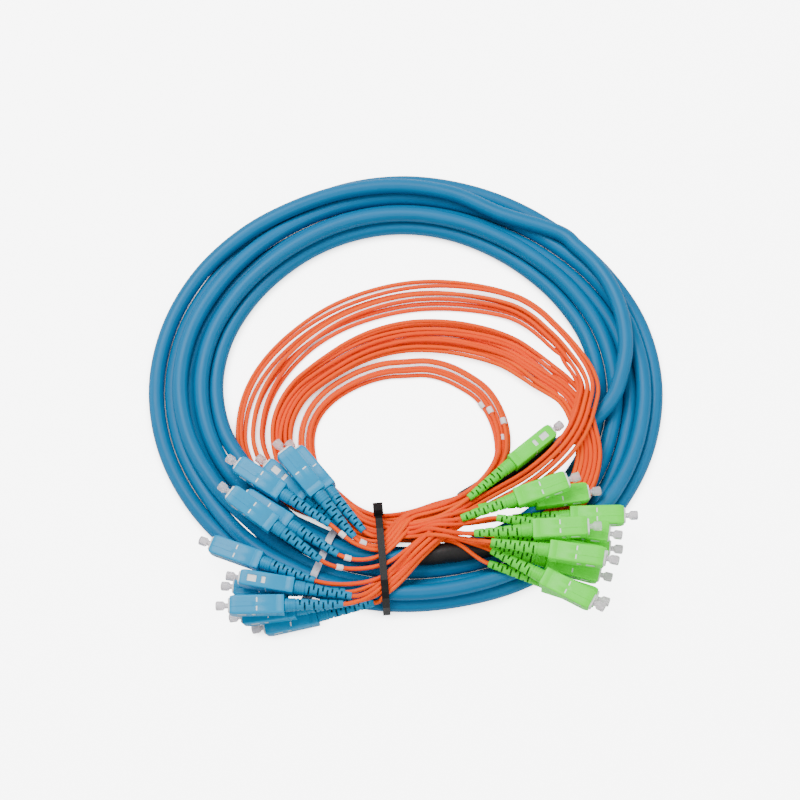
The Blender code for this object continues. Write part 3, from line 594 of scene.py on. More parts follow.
def laid_at(points, name, ahead=0.0):
    """Points built from a boot's tip along +X, moved to where the named connector lies."""
    tip, axes = connector_axes(name)
    return (points + np.array([ahead, 0, 0])) @ axes.T + tip


# Grip: half sizes, the corner's radius, and the features along it, in millimetres from its rear face
GRIP_HALF = (4.5, 3.7)
GRIP_CORNER = 0.8
EDGE_STEP = 0.05
WINDOWS = ((13.2, 15.0), (17.4, 21.6))
WINDOW_HALF = 1.55
WINDOW_DEPTH = 0.55
MARK = (12.3, 12.85)
MARK_SPAN = (1.0, 3.1)
MARK_DEPTH = 0.03
KEY_HALF = 1.0
KEY_START = 13.9
KEY_HEIGHT = 0.18
MEET = 0.01
# Distance ahead and size of each row; the last rows turn in at the open front
GRIP_PROFILE = (
    (0.0, 0.86), (0.0, 0.95), (0.15, 0.985), (0.4, 1.0), (3.4, 1.0), (3.5, 0.985), (3.8, 0.985), (3.9, 1.0),
    (MARK[0] - 0.06, 1.0), (MARK[0], 1.0), (MARK[1], 1.0), (MARK[1] + 0.06, 1.0),
    (WINDOWS[0][0] - EDGE_STEP, 1.0), (WINDOWS[0][0] + EDGE_STEP, 1.0), (14.0, 1.0),
    (WINDOWS[0][1] - EDGE_STEP, 1.0), (WINDOWS[0][1] + EDGE_STEP, 1.0), (16.0, 1.0),
    (WINDOWS[1][0] - EDGE_STEP, 1.0), (WINDOWS[1][0] + EDGE_STEP, 1.0), (19.5, 1.0),
    (WINDOWS[1][1] - EDGE_STEP, 1.0), (WINDOWS[1][1] + EDGE_STEP, 1.0), (22.9, 0.995), (23.9, 0.96),
    (24.7, 0.915), (25.0, 0.88), (25.0, 0.80), (24.8, 0.785), (22.6, 0.78), (22.6, 0.6),
)
OUTER_ROWS = 28
MIDDLE_SHARE = 0.3


def grip_outline():
    """Cross-section of a grip: a rectangle with rounded corners, with extra points at the edges of
    the marks, the key and the windows. Half of it is worked out, and the other half is that half
    turned round. Returns the points and the side each is on: top, left, bottom, right, or -1 in a corner."""
    wide, thick = GRIP_HALF
    flat_y = wide - GRIP_CORNER
    flat_z = thick - GRIP_CORNER
    arc = np.radians(np.linspace(0, 90, 5)[1:-1])
    across = np.array([flat_y, MARK_SPAN[1] + EDGE_STEP, MARK_SPAN[1] - EDGE_STEP, KEY_HALF + EDGE_STEP,
                       KEY_HALF - EDGE_STEP, 0])
    top = np.r_[across, -across[-2::-1]]
    side = np.array([flat_z, WINDOW_HALF + EDGE_STEP, WINDOW_HALF - EDGE_STEP, 0])
    left = np.r_[side, -side[-2::-1]]
    rounding = GRIP_CORNER * np.column_stack([np.cos(arc), np.sin(arc)])
    upper_corner = (-flat_y, flat_z) + rounding[:, ::-1] * (-1, 1)
    lower_corner = (-flat_y, -flat_z) - rounding
    top_edge = np.column_stack([top, np.full(len(top), thick)])
    left_edge = np.column_stack([np.full(len(left), -wide), left])
    half = np.vstack([top_edge, upper_corner, left_edge, lower_corner])
    side_of = np.repeat((0, -1, 1, -1), (len(top), len(arc), len(left), len(arc)))
    return np.vstack([half, -half]), np.r_[side_of, np.where(side_of < 0, -1, side_of + 2)]


def grip_rows():
    """A grip: the outline carried forward and scaled by the profile, then turned in at its open front.
    The windows are pushed in and the key stands a little proud. Returns points and masks."""
    outline, sides = grip_outline()
    x, scale = np.array(GRIP_PROFILE).T
    points = np.empty((len(x), len(outline), 3))
    points[..., 0] = x[:, None]
    shrink = (1 - scale)[:, None] * GRIP_HALF[0]
    signs = np.sign(outline)
    full = np.abs(outline)[None]
    size = np.maximum(full - shrink[..., None] * (full > MIDDLE_SHARE * np.array(GRIP_HALF)), 0)
    points[..., 1:] = size * signs[None]
    outer = np.arange(len(x)) < OUTER_ROWS
    narrow = (sides == 1) | (sides == 3)
    broad = (sides == 0) | (sides == 2)
    in_window = np.zeros(len(x), bool)
    for first, last in WINDOWS:
        in_window |= (x > first) & (x < last)
    beside = narrow & (np.abs(outline[:, 1]) < WINDOW_HALF)
    window = outer[:, None] & in_window[:, None] & beside[None]
    points[..., 1] -= np.where(window, WINDOW_DEPTH * signs[None, :, 0], 0)
    in_mark = outer & (x > MARK[0] - MEET) & (x < MARK[1] + MEET)
    sideways = np.abs(outline[:, 0])
    mark = in_mark[:, None] & (broad & (sideways > MARK_SPAN[0]) & (sideways < MARK_SPAN[1]))[None]
    key = (outer & (x > KEY_START))[:, None] & ((sides == 0) & (sideways < KEY_HALF))[None]
    points[..., 2] -= np.where(mark, MARK_DEPTH * signs[None, :, 1], 0)
    points[..., 2] += np.where(key, KEY_HEIGHT, 0)
    # The outer rows' rounded corners are marked for a painted highlight, a lighter tone where light would
    # catch them
    edge = outer[:, None] & (sides == -1)[None]
    return points, {"white": window | mark, "edge": edge}


# Boot: slits cut alternately from the two sides, in millimetres from its tip
SLIT_FIRST = 2.2
SLIT_PITCH = 2.15
SLIT_WIDTH = 0.85
SLIT_COUNT = 9
SLIT_REACH = 0.92
SLIT_DEPTH = 0.6
SLIT_WALL = 0.04
BOOT_AROUND = 32
# The collar with its groove and ridges, and the radius at places along the boot
COLLAR_START = 21.9
GROOVE_WIDTH = 0.5
GROOVE_WALL = 0.05
COLLAR_SIZE = 1.04
RIDGE_START = 1.0
RIDGE_PITCH = 1.15
RIDGE_COUNT = 3
BOOT_PLACES = (0, 4, COLLAR_START, BOOT_LENGTH)
BOOT_RADII = (1.7, 1.95, 2.95, 3.15)


def boot_rows():
    """A boot: a cone from tip to collar with slits. Each slit is two arcs across from each other, a
    little over a quarter turn long, and every other slit is turned a quarter."""
    angle = 2 * np.pi * (np.arange(BOOT_AROUND) + 0.5) / BOOT_AROUND - np.pi / 2
    stations = [(0.0, 0.62, 0), (0.0, 0.9, 0), (0.25, 1.0, 0)]
    for k in range(SLIT_COUNT):
        start = SLIT_FIRST + k * SLIT_PITCH
        end = start + SLIT_WIDTH
        stations += [(start, 1.0, 0), (start + SLIT_WALL, 1.0, k + 1), (end - SLIT_WALL, 1.0, k + 1),
                     (end, 1.0, 0)]
    groove = COLLAR_START - GROOVE_WIDTH
    stations += [(groove, 1.0, 0), (groove + GROOVE_WALL, 0.9, 0), (COLLAR_START - GROOVE_WALL, 0.9, 0),
                 (COLLAR_START, 1.0, 0), (COLLAR_START + 0.2, COLLAR_SIZE, 0)]
    for k in range(RIDGE_COUNT):
        ridge = COLLAR_START + RIDGE_START + k * RIDGE_PITCH
        stations += [(ridge, COLLAR_SIZE, 0), (ridge + 0.1, 1.0, 0), (ridge + 0.4, 1.0, 0),
                     (ridge + 0.5, COLLAR_SIZE, 0)]
    stations += [(26.5, COLLAR_SIZE, 0), (26.8, 1.0, 0), (26.95, 0.9, 0)]
    x, scale, slit = np.array(stations).T
    radius = np.interp(x, BOOT_PLACES, BOOT_RADII) * scale
    quarter = np.pi / 4 + np.pi / 2 * (slit[:, None] % 2)
    off = np.abs((angle[None] - quarter + np.pi / 2) % np.pi - np.pi / 2)
    cut = (slit[:, None] > 0) & (off < SLIT_REACH)
    r = radius[:, None] * np.where(cut, SLIT_DEPTH, 1.0)
    points = np.stack([np.broadcast_to(x[:, None], r.shape), r * np.cos(angle), r * np.sin(angle)], axis=-1)
    # The slit mask marks the cut faces, which are given painted shade, a much darker tone
    return points, {"slit": cut}


# Inner body and dust cap: distance ahead of the grip's rear face, and size or radius
CORE_PROFILE = (
    (19.0, 0.6), (19.0, 0.95), (25.4, 0.95), (25.85, 0.88), (25.85, 0.66), (24.9, 0.64), (24.9, 0.3),
)
CORE_HALF = (3.55, 2.75)
CORE_SQUARENESS = 0.22
CORE_AROUND = 32
CAP_PROFILE = (
    (23.0, 1.0), (25.4, 1.05), (25.9, 1.2), (27.3, 1.25), (27.7, 1.7), (28.1, 2.05), (28.5, 2.15),
    (31.0, 2.15), (31.4, 2.0), (31.6, 1.5), (31.6, 0.5),
)
CAP_AROUND = 20


def core_rows():
    """The white inner body: a rectangle with rounded corners carried forward, hollow at its front. The
    rectangle is a circle whose sine and cosine are raised to a small power."""
    angle = 2 * np.pi * (np.arange(CORE_AROUND) + 0.5) / CORE_AROUND
    circle = np.stack([np.cos(angle), np.sin(angle)], axis=-1)
    box = np.sign(circle) * np.abs(circle) ** CORE_SQUARENESS
    x, scale = np.array(CORE_PROFILE).T
    points = np.empty((len(x), CORE_AROUND, 3))
    points[..., 0] = x[:, None]
    points[..., 1:] = box[None] * np.array(CORE_HALF) * scale[:, None, None]
    return points


# Sleeve: radius at shares of its length, and its turned-in ends
SLEEVE_SHARES = (0, 0.03, 0.2, 0.85, 0.97, 1)
SLEEVE_RADII = (4.1, 4.3, 4.75, 4.8, 4.6, 4.3)
SLEEVE_END_RADII = (3.6, 3.4)
SLEEVE_ROWS = 60
SLEEVE_AROUND = 32
# Swellings, folds and creases: height of each in millimetres, and radians of its wave per millimetre
WRINKLE_HEIGHTS = (0.09, 0.06, 0.03)
WRINKLE_RATES = (0.55, 0.21, 2.3)
WRINKLE_FADE = 12


def sleeve_rows(ends, wave_start):
    """A shrunk sleeve: a tube that is slim at the trunk, full over the split and turned in at the
    legs, with shallow swellings and wrinkles from low sine waves round and along it."""
    start, end = (np.array(p, float) for p in ends)
    length = np.linalg.norm(end - start)
    share = np.r_[0, 0, np.linspace(0.01, 0.99, SLEEVE_ROWS), 1, 1]
    path = start + (CLEARANCE + share * (length - 2 * CLEARANCE))[:, None] * (end - start) / length
    radius = np.interp(share, SLEEVE_SHARES, SLEEVE_RADII)
    radius[0], radius[-1] = SLEEVE_END_RADII
    rows = tube_rows(path, 1.0, SLEEVE_AROUND) - path[:, None]
    angle = 2 * np.pi * np.arange(SLEEVE_AROUND) / SLEEVE_AROUND
    s = share[:, None] * length
    swelling, fold, crease = WRINKLE_HEIGHTS
    swelling_rate, fold_rate, crease_rate = WRINKLE_RATES
    wave = (swelling * np.sin(s * swelling_rate + wave_start + 2 * np.sin(angle + wave_start))
            + fold * np.sin(3 * angle + s * fold_rate + wave_start)
            + crease * np.sin(s * crease_rate + 2 * angle + wave_start))
    fade = np.clip(np.minimum(share, 1 - share) * WRINKLE_FADE, 0, 1)[:, None]
    return path[:, None] + rows * (radius[:, None] + wave * fade)[..., None]


# Finishes: how much the patches change the roughness, and the depth in metres of the grain's relief
ROUGHNESS_SPREAD = 0.22
GRAIN_DEPTH = 0.0002
# Streaks along a cord: how often they change round and along it, and how far they darken and lighten
STREAKS = (14.0, 0.8, 1.0)
STREAK_TONES = (0.88, 1.1)


def group_socket(group, name, kind, way, default=None):
    """A new input or output of a node group."""
    socket = group.interface.new_socket(name=name, in_out=way, socket_type=kind)
    if default is not None:
        socket.default_value = default
    return socket


def mottle_group():
    """Uneven tone, roughness and fine relief of moulded or extruded plastic: two sizes of noise."""
    if "plastic_mottle" in bpy.data.node_groups:
        return bpy.data.node_groups["plastic_mottle"]
    group = bpy.data.node_groups.new("plastic_mottle", "ShaderNodeTree")
    group_socket(group, "Vector", "NodeSocketVector", "INPUT")
    group_socket(group, "Colour", "NodeSocketColor", "INPUT", (0.5, 0.5, 0.5, 1))
    group_socket(group, "Patch size", "NodeSocketFloat", "INPUT", 120.0)
    group_socket(group, "Grain size", "NodeSocketFloat", "INPUT", 2500.0)
    group_socket(group, "Tone", "NodeSocketFloat", "INPUT", 0.1)
    group_socket(group, "Roughness", "NodeSocketFloat", "INPUT", 0.4)
    group_socket(group, "Colour", "NodeSocketColor", "OUTPUT")
    group_socket(group, "Roughness", "NodeSocketFloat", "OUTPUT")
    group_socket(group, "Height", "NodeSocketFloat", "OUTPUT")
    nodes, links = group.nodes, group.links
    inside = nodes.new("NodeGroupInput")
    outside = nodes.new("NodeGroupOutput")
    patch = nodes.new("ShaderNodeTexNoise")
    grain = nodes.new("ShaderNodeTexNoise")
    for noise, size, detail in ((patch, "Patch size", 3.0), (grain, "Grain size", 2.0)):
        links.new(inside.outputs["Vector"], noise.inputs["Vector"])
        links.new(inside.outputs[size], noise.inputs["Scale"])
        noise.inputs["Detail"].default_value = detail
    centred = nodes.new("ShaderNodeMath")
    centred.operation = "SUBTRACT"
    centred.inputs[1].default_value = 0.5
    links.new(patch.outputs["Fac"], centred.inputs[0])
    scaled = nodes.new("ShaderNodeMath")
    scaled.operation = "MULTIPLY_ADD"
    scaled.inputs[2].default_value = 1.0
    links.new(centred.outputs[0], scaled.inputs[0])
    links.new(inside.outputs["Tone"], scaled.inputs[1])
    tint = nodes.new("ShaderNodeVectorMath")
    tint.operation = "SCALE"
    links.new(inside.outputs["Colour"], tint.inputs[0])
    links.new(scaled.outputs[0], tint.inputs["Scale"])
    links.new(tint.outputs[0], outside.inputs["Colour"])
    rough = nodes.new("ShaderNodeMath")
    rough.operation = "MULTIPLY_ADD"
    rough.inputs[1].default_value = ROUGHNESS_SPREAD
    links.new(centred.outputs[0], rough.inputs[0])
    links.new(inside.outputs["Roughness"], rough.inputs[2])
    links.new(rough.outputs[0], outside.inputs["Roughness"])
    links.new(grain.outputs["Fac"], outside.inputs["Height"])
    return group


def plastic(name, colour, roughness, tone=0.12, patch=120.0, grain=2500.0, relief=0.03, masks=(),
            streaks=False, gloss=0.2):
    """A plastic finish with uneven tone. Masks are pairs of attribute and colour, laid over it where
    the attribute is 1, and streaks draw the surface out along a cord."""
    if name in finishes:
        return finishes[name]
    material = bpy.data.materials.new(name)
    material.use_nodes = True
    nodes, links = material.node_tree.nodes, material.node_tree.links
    shader = nodes["Principled BSDF"]
    coordinates = nodes.new("ShaderNodeTexCoord")
    mottle = nodes.new("ShaderNodeGroup")
    mottle.node_tree = mottle_group()
    links.new(coordinates.outputs["Object"], mottle.inputs["Vector"])
    mottle.inputs["Colour"].default_value = (*colour, 1)
    mottle.inputs["Patch size"].default_value = patch
    mottle.inputs["Grain size"].default_value = grain
    mottle.inputs["Tone"].default_value = tone
    mottle.inputs["Roughness"].default_value = roughness
    base = mottle.outputs["Colour"]
    if streaks:
        drawn = nodes.new("ShaderNodeMapping")
        drawn.inputs["Scale"].default_value = STREAKS
        links.new(coordinates.outputs["UV"], drawn.inputs["Vector"])
        lines = nodes.new("ShaderNodeTexNoise")
        lines.inputs["Scale"].default_value = 1.0
        lines.inputs["Detail"].default_value = 4.0
        links.new(drawn.outputs[0], lines.inputs["Vector"])
        ramp = nodes.new("ShaderNodeMapRange")
        ramp.inputs["From Min"].default_value = 0.3
        ramp.inputs["From Max"].default_value = 0.7
        ramp.inputs["To Min"].default_value = STREAK_TONES[0]
        ramp.inputs["To Max"].default_value = STREAK_TONES[1]
        links.new(lines.outputs["Fac"], ramp.inputs["Value"])
        drawn_tone = nodes.new("ShaderNodeVectorMath")
        drawn_tone.operation = "SCALE"
        links.new(base, drawn_tone.inputs[0])
        links.new(ramp.outputs[0], drawn_tone.inputs["Scale"])
        base = drawn_tone.outputs[0]
    for attribute_name, over in masks:
        attribute = nodes.new("ShaderNodeAttribute")
        attribute.attribute_name = attribute_name
        mix = nodes.new("ShaderNodeMix")
        mix.data_type = "RGBA"
        links.new(attribute.outputs["Fac"], mix.inputs["Factor"])
        links.new(base, mix.inputs["A"])
        mix.inputs["B"].default_value = (*over, 1)
        base = mix.outputs["Result"]
    shader.inputs["Specular IOR Level"].default_value = gloss
    links.new(base, shader.inputs["Base Color"])
    links.new(mottle.outputs["Roughness"], shader.inputs["Roughness"])
    bump = nodes.new("ShaderNodeBump")
    bump.inputs["Strength"].default_value = relief
    bump.inputs["Distance"].default_value = GRAIN_DEPTH
    links.new(mottle.outputs["Height"], bump.inputs["Height"])
    links.new(bump.outputs[0], shader.inputs["Normal"])
    finishes[name] = material
    return material


def scaled_colour(colour, factor):
    """The colour made lighter or darker by the factor."""
    return tuple(min(1.0, c * factor) for c in colour)


# Settings: colours of the white and clear plastics and of the floor, and tones as shares of their piece's
# colour: the painted highlight on the grips' rounded corners, the boots, the painted shade in the boots'
# slits, the tie and the legs
WHITE = (0.86, 0.86, 0.84)
MILKY = (0.93, 0.88, 0.91)
RING_WHITE = (0.92, 0.89, 0.91)
CLEAR_NYLON = (0.78, 0.76, 0.84)
PAPER = (0.93, 0.93, 0.93)
CORNER_HIGHLIGHT_TONE = 1.12
BOOT_TONE = 0.88
SLIT_PAINTED_SHADE = 0.22
TIE_TONE = 0.6
LEG_SHADE = (0.92, 0.38, 0.0)
LEG_SHADE_MOST = 0.55
LEG_SHADE_SEED = 7
CAP_CLARITY = 0.6
CAP_IOR = 1.35
TIE_CLARITY = 0.35


class CableSizes(bpy.types.PropertyGroup):
    """Sizes of the cable that a user may change"""
    trunk_diameter: bpy.props.FloatProperty(
        name="Trunk diameter", description="Diameter of the round trunk cable",
        default=TRUNK_DIAMETER * MM, min=0.004, max=0.0078, unit="LENGTH", precision=4)
    leg_diameter: bpy.props.FloatProperty(
        name="Leg diameter", description="Diameter of each single-fibre leg",
        default=LEG_DIAMETER * MM, min=0.0015, max=0.0022, unit="LENGTH", precision=4)
    trunk_sides: bpy.props.IntProperty(
        name="Trunk sides", description="Points round the trunk cable", default=28, min=12, max=48)
    leg_sides: bpy.props.IntProperty(
        name="Leg sides", description="Points round each leg", default=12, min=8, max=24)


class CableColours(bpy.types.PropertyGroup):
    """Colours of the cable's finishes"""
    trunk: bpy.props.FloatVectorProperty(
        name="Trunk jacket", description="Colour of the trunk's jacket", subtype="COLOR", size=3,
        default=(0.000, 0.155, 0.350), min=0, max=1)
    legs: bpy.props.FloatVectorProperty(
        name="Legs", description="Colour of the legs' jackets", subtype="COLOR", size=3,
        default=(1.0, 0.105, 0.000), min=0, max=1)
    blue: bpy.props.FloatVectorProperty(
        name="Blue connectors", description="Colour of the blue grips and boots", subtype="COLOR", size=3,
        default=(0.000, 0.280, 0.540), min=0, max=1)
    green: bpy.props.FloatVectorProperty(
        name="Green connectors", description="Colour of the green grips and boots", subtype="COLOR", size=3,
        default=(0.090, 0.900, 0.025), min=0, max=1)
    black: bpy.props.FloatVectorProperty(
        name="Sleeves and tie", description="Colour of the shrunk sleeves and the black tie", subtype="COLOR",
        size=3, default=(0.014, 0.013, 0.013), min=0, max=1)


# Operators: one for each kind of piece and one for the stage


class CABLE_OT_trunk(bpy.types.Operator):
    """Lay the trunk cable's six turns"""
    bl_idname = "cable.trunk"
    bl_label = "Trunk cable"

    def execute(self, context):
        sizes, colours = context.scene.cable_sizes, context.scene.cable_colours
        points = trunk_route()
        routes["trunk"] = points
        path = smooth_path(points, TRUNK_SAMPLES)
        path[:, 2] = np.maximum(path[:, 2], TRUNK_DIAMETER / 2 - ROUTE_ORIGIN[2])
        jacket = plastic("trunk_jacket_blue", tuple(colours.trunk), roughness=0.46, tone=0.16, patch=90.0,
                         grain=1800.0, relief=0.05, streaks=True)
        rows = tube_rows(path, sizes.trunk_diameter / MM / 2, sizes.trunk_sides)
        piece = add_piece("trunk_cable_jacket", rows, jacket, ["trunk_cable"],
                          distance_along(path))
        return {"FINISHED"}


class CABLE_OT_sleeves(bpy.types.Operator):
    """Shrink the two black sleeves over the places where the trunk splits"""
    bl_idname = "cable.sleeves"
    bl_label = "Breakout sleeves"

    def execute(self, context):
        black = tuple(context.scene.cable_colours.black)
        finish = plastic("shrunk_sleeve_black", black, roughness=0.5, tone=0.5, patch=200.0, grain=900.0,
                         relief=0.2)
        for name, ends, start in SLEEVES:
            add_piece(f"shrunk_sleeve_{name}", sleeve_rows(ends, start), finish,
                      [f"breakout_sleeve_{name}"])
        return {"FINISHED"}


class CABLE_OT_connectors(bpy.types.Operator):
    """Build every connector's grip, inner body, boot and dust cap where it lies"""
    bl_idname = "cable.connectors"
    bl_label = "Connectors"

    def execute(self, context):
        colours = context.scene.cable_colours
        core_finish = plastic("inner_body_white", WHITE, roughness=0.4, tone=0.06)
        cap_finish = plastic("dust_cap_milky", MILKY, roughness=0.18, tone=0.08, patch=300.0)
        cap_shader = cap_finish.node_tree.nodes["Principled BSDF"]
        cap_shader.inputs["Transmission Weight"].default_value = CAP_CLARITY
        cap_shader.inputs["IOR"].default_value = CAP_IOR
        grip, grip_masks = grip_rows()
        boot, boot_masks = boot_rows()
        core = core_rows()
        cap = turned_rows(CAP_PROFILE, CAP_AROUND)
        for name in CONNECTORS:
            kind, letter = name.split("_")
            colour = tuple(getattr(colours, kind))
            # The grip's rounded corners carry a painted highlight, a lighter tone of its colour; its windows
            # and marks are white
            grip_finish = plastic(f"grip_{kind}", colour, roughness=0.34, tone=0.1, patch=160.0,
                                  masks=[("edge", scaled_colour(colour, CORNER_HIGHLIGHT_TONE)), ("white", WHITE)])
            # The boot's slits carry painted shade: a much darker tone of its colour inside the cuts
            boot_finish = plastic(f"boot_{kind}", scaled_colour(colour, BOOT_TONE), roughness=0.42, tone=0.12,
                                  masks=[("slit", scaled_colour(colour, SLIT_PAINTED_SHADE))])
            add_piece(f"{kind}_grip_{letter}", laid_at(grip, name, BOOT_LENGTH), grip_finish,
                      [f"{kind}_housing_{letter}"], masks=grip_masks)
            add_piece(f"{kind}_slotted_boot_{letter}", laid_at(boot, name), boot_finish,
                      [f"{kind}_boot_{letter}"], masks=boot_masks)
            add_piece(f"{kind}_inner_body_{letter}", laid_at(core, name, BOOT_LENGTH), core_finish)
            add_piece(f"{kind}_dust_cap_{letter}", laid_at(cap, name, BOOT_LENGTH), cap_finish)
        return {"FINISHED"}


class CABLE_OT_legs(bpy.types.Operator):
    """Lay the twenty-four orange legs from their sleeves to their boots"""
    bl_idname = "cable.legs"
    bl_label = "Legs"

    def execute(self, context):
        sizes, colours = context.scene.cable_sizes, context.scene.cable_colours
        colour = tuple(colours.legs)
        shade = tuple(np.array(colour) * LEG_SHADE)
        finish = plastic("leg_jacket_orange", colour, roughness=0.48, tone=0.18, patch=60.0, grain=3000.0,
                         relief=0.03, masks=[("shade", shade)], streaks=True, gloss=0.1)
        lines = leg_routes(routes["trunk"])
        routes.update(lines)
        shades = np.random.default_rng(LEG_SHADE_SEED).uniform(0.0, LEG_SHADE_MOST, len(lines))
        shade_of = dict(zip(lines, shades))
        for _, node, sleeve, kind, order in BUNDLES:
            for letter in order:
                path = lines[f"{kind}_{letter}"]
                rows = tube_rows(path, sizes.leg_diameter / MM / 2, sizes.leg_sides)
                piece = add_piece(f"{kind}_leg_{letter}", rows, finish, [node],
                                  distance_along(path), {"shade": shade_of[f"{kind}_{letter}"]})
        return {"FINISHED"}


class CABLE_OT_rings(bpy.types.Operator):
    """Slip the white number rings over their legs"""
    bl_idname = "cable.rings"
    bl_label = "Number rings"

    def execute(self, context):
        finish = plastic("number_ring_white", RING_WHITE, roughness=0.3, tone=0.06, patch=300.0)
        bore = LEG_DIAMETER / 2 + RING_FIT
        rounded = RING_RADIUS - RING_EDGE
        radius = np.array([bore, rounded, RING_RADIUS, RING_RADIUS, rounded, bore])
        wanted = np.array(RING_STATIONS) * RING_LENGTH
        for k, (name, place) in enumerate(RINGS):
            path = routes[name]
            middle = np.argmin(np.linalg.norm(path - np.array(place, float), axis=1))
            along = distance_along(path) - distance_along(path)[middle]
            line = np.column_stack([np.interp(wanted, along, path[:, j]) for j in range(3)])
            line[:, 2] = np.maximum(line[:, 2], RING_RADIUS - ROUTE_ORIGIN[2])
            spine = line.copy()
            spine[0] -= END_OFFSET * (line[2] - line[1])
            spine[-1] += END_OFFSET * (line[-2] - line[-3])
            add_piece(f"number_ring_{k + 1}", tube_rows(spine, radius, RING_AROUND), finish)
        return {"FINISHED"}


class CABLE_OT_ties(bpy.types.Operator):
    """Finish the black and the clear cable tie"""
    bl_idname = "cable.ties"
    bl_label = "Cable ties"

    def execute(self, context):
        black = tuple(context.scene.cable_colours.black)
        dark = plastic("tie_nylon_black", scaled_colour(black, TIE_TONE), roughness=0.34, tone=0.4,
                       patch=220.0, grain=1500.0, relief=0.12)
        clear = plastic("tie_nylon_clear", CLEAR_NYLON, roughness=0.3, tone=0.1, patch=220.0, grain=1500.0,
                        relief=0.1)
        clear_shader = clear.node_tree.nodes["Principled BSDF"]
        clear_shader.inputs["Transmission Weight"].default_value = TIE_CLARITY
        for node, finish in (("cable_tie_black", dark), ("cable_tie_clear", clear)):
            bpy.data.objects[node].material_slots[0].material = finish
        return {"FINISHED"}


# The photograph is 800 pixels wide, and its lens sees a metre as 2060 of them from a metre away
PICTURE_WIDTH = 800
FOCAL_PIXELS = 2060.0
CAMERA_ELEVATION = 72.0
CAMERA_DISTANCE = 1.0
FLOOR_HALF = 2.0
# The floor glows evenly for the camera, and the glow fades out close to what lies on it, which paints a soft
# contact shadow round the cable and into the gaps between its turns: strength, reach in metres, and the
# shares of open sky between which it fades in
FLOOR_GLOW = 6.0
PAINTED_SHADOW_REACH = 0.007
PAINTED_SHADOW_FADE = (0.2, 0.75)
WORLD_STRENGTH = 0.55
LAMPS = (("key", (-0.45, 0.5, 1.3), 0.8, 27), ("fill", (0.8, -0.6, 1.1), 1.2, 9))


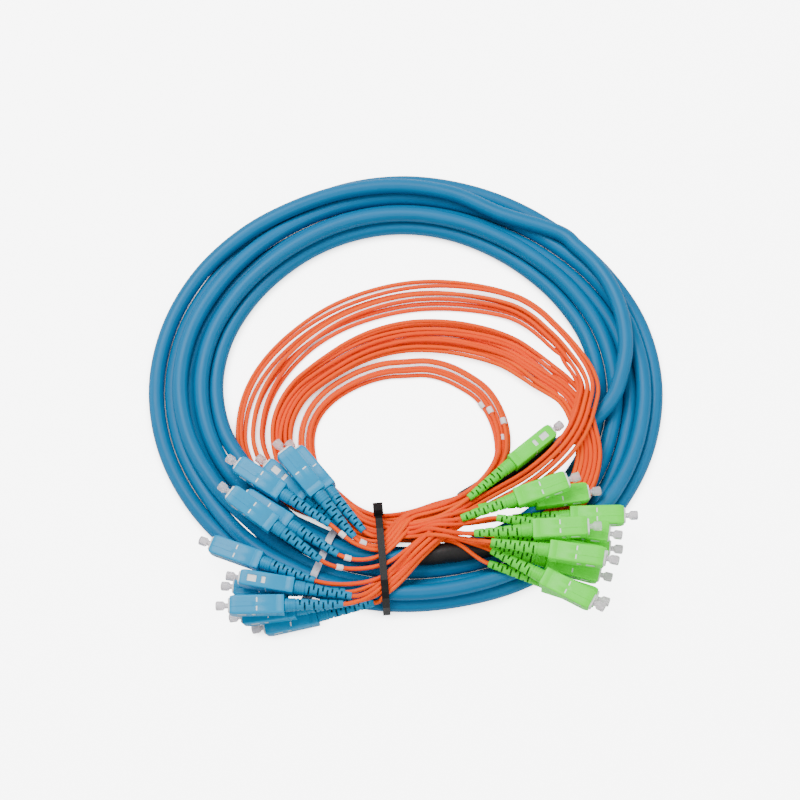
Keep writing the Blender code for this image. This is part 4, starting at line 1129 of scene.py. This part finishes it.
class CABLE_OT_stage(bpy.types.Operator):
    """Set the floor, the soft lights and the camera"""
    bl_idname = "cable.stage"
    bl_label = "Stage"

    def execute(self, context):
        scene = context.scene
        corners = [(x * FLOOR_HALF, y * FLOOR_HALF, 0) for x, y in ((-1, -1), (1, -1), (1, 1), (-1, 1))]
        mesh = bpy.data.meshes.new("floor")
        mesh.from_pydata(corners, [], [(0, 1, 2, 3)])
        floor = bpy.data.objects.new("floor", mesh)
        scene.collection.objects.link(floor)
        paper = plastic("floor_white", PAPER, roughness=0.7, tone=0.01, patch=3.0, relief=0.0)
        nodes, links = paper.node_tree.nodes, paper.node_tree.links
        shader = nodes["Principled BSDF"]
        glow = nodes.new("ShaderNodeEmission")
        seen = nodes.new("ShaderNodeLightPath")
        share = nodes.new("ShaderNodeMath")
        share.operation = "MULTIPLY"
        # Ambient occlusion dims the floor's glow near the cable: a painted contact shadow
        near = nodes.new("ShaderNodeAmbientOcclusion")
        near.inputs["Distance"].default_value = PAINTED_SHADOW_REACH
        near.samples = 8
        glow_with_painted_shadow = nodes.new("ShaderNodeMapRange")
        glow_with_painted_shadow.inputs["From Min"].default_value = PAINTED_SHADOW_FADE[0]
        glow_with_painted_shadow.inputs["From Max"].default_value = PAINTED_SHADOW_FADE[1]
        glow_with_painted_shadow.inputs["To Max"].default_value = FLOOR_GLOW
        links.new(near.outputs["AO"], glow_with_painted_shadow.inputs["Value"])
        links.new(seen.outputs["Is Camera Ray"], share.inputs[0])
        links.new(glow_with_painted_shadow.outputs[0], share.inputs[1])
        links.new(share.outputs[0], glow.inputs["Strength"])
        both = nodes.new("ShaderNodeAddShader")
        links.new(shader.outputs[0], both.inputs[0])
        links.new(glow.outputs[0], both.inputs[1])
        links.new(both.outputs[0], nodes["Material Output"].inputs["Surface"])
        mesh.materials.append(paper)

        world = bpy.data.worlds.new("studio")
        world.use_nodes = True
        background = world.node_tree.nodes["Background"]
        background.inputs["Color"].default_value = (1, 1, 1, 1)
        background.inputs["Strength"].default_value = WORLD_STRENGTH
        scene.world = world
        for name, place, size, power in LAMPS:
            lamp = bpy.data.lights.new(name, "AREA")
            lamp.size = size
            lamp.energy = power
            light = bpy.data.objects.new(name, lamp)
            scene.collection.objects.link(light)
            light.location = place
            light.rotation_euler = (-Vector(place)).to_track_quat("-Z", "Y").to_euler()

        aim = Vector(ROUTE_ORIGIN * MM)
        lens = bpy.data.cameras.new("camera")
        lens.lens = FOCAL_PIXELS * lens.sensor_width / PICTURE_WIDTH
        camera = bpy.data.objects.new("camera", lens)
        scene.collection.objects.link(camera)
        elevation = np.radians(CAMERA_ELEVATION)
        camera.location = aim + CAMERA_DISTANCE * Vector((0, -np.cos(elevation), np.sin(elevation)))
        camera.rotation_euler = (aim - camera.location).to_track_quat("-Z", "Y").to_euler()
        scene.camera = camera
        return {"FINISHED"}


OPERATORS = (
    CABLE_OT_stage, CABLE_OT_trunk, CABLE_OT_sleeves, CABLE_OT_connectors, CABLE_OT_legs, CABLE_OT_rings,
    CABLE_OT_ties,
)


class CABLE_PT_panel(bpy.types.Panel):
    """Settings and steps of the breakout cable"""
    bl_idname = "CABLE_PT_panel"
    bl_label = "Fibre Breakout Cable"
    bl_space_type = "VIEW_3D"
    bl_region_type = "UI"
    bl_category = "Cable"

    def draw(self, context):
        layout = self.layout
        for settings in (context.scene.cable_sizes, context.scene.cable_colours):
            for key in settings.__annotations__:
                layout.prop(settings, key)
        for operator in OPERATORS:
            layout.operator(operator.bl_idname)


CLASSES = (CableSizes, CableColours) + OPERATORS + (CABLE_PT_panel,)


def register():
    for item in CLASSES:
        bpy.utils.register_class(item)
    bpy.types.Scene.cable_sizes = bpy.props.PointerProperty(type=CableSizes)
    bpy.types.Scene.cable_colours = bpy.props.PointerProperty(type=CableColours)


def unregister():
    del bpy.types.Scene.cable_colours
    del bpy.types.Scene.cable_sizes
    for item in reversed(CLASSES):
        bpy.utils.unregister_class(item)


def main():
    register()
    bpy.ops.cable.stage()
    bpy.ops.cable.trunk()
    bpy.ops.cable.sleeves()
    bpy.ops.cable.connectors()
    bpy.ops.cable.legs()
    bpy.ops.cable.rings()
    bpy.ops.cable.ties()


if __name__ == "__main__":
    main()
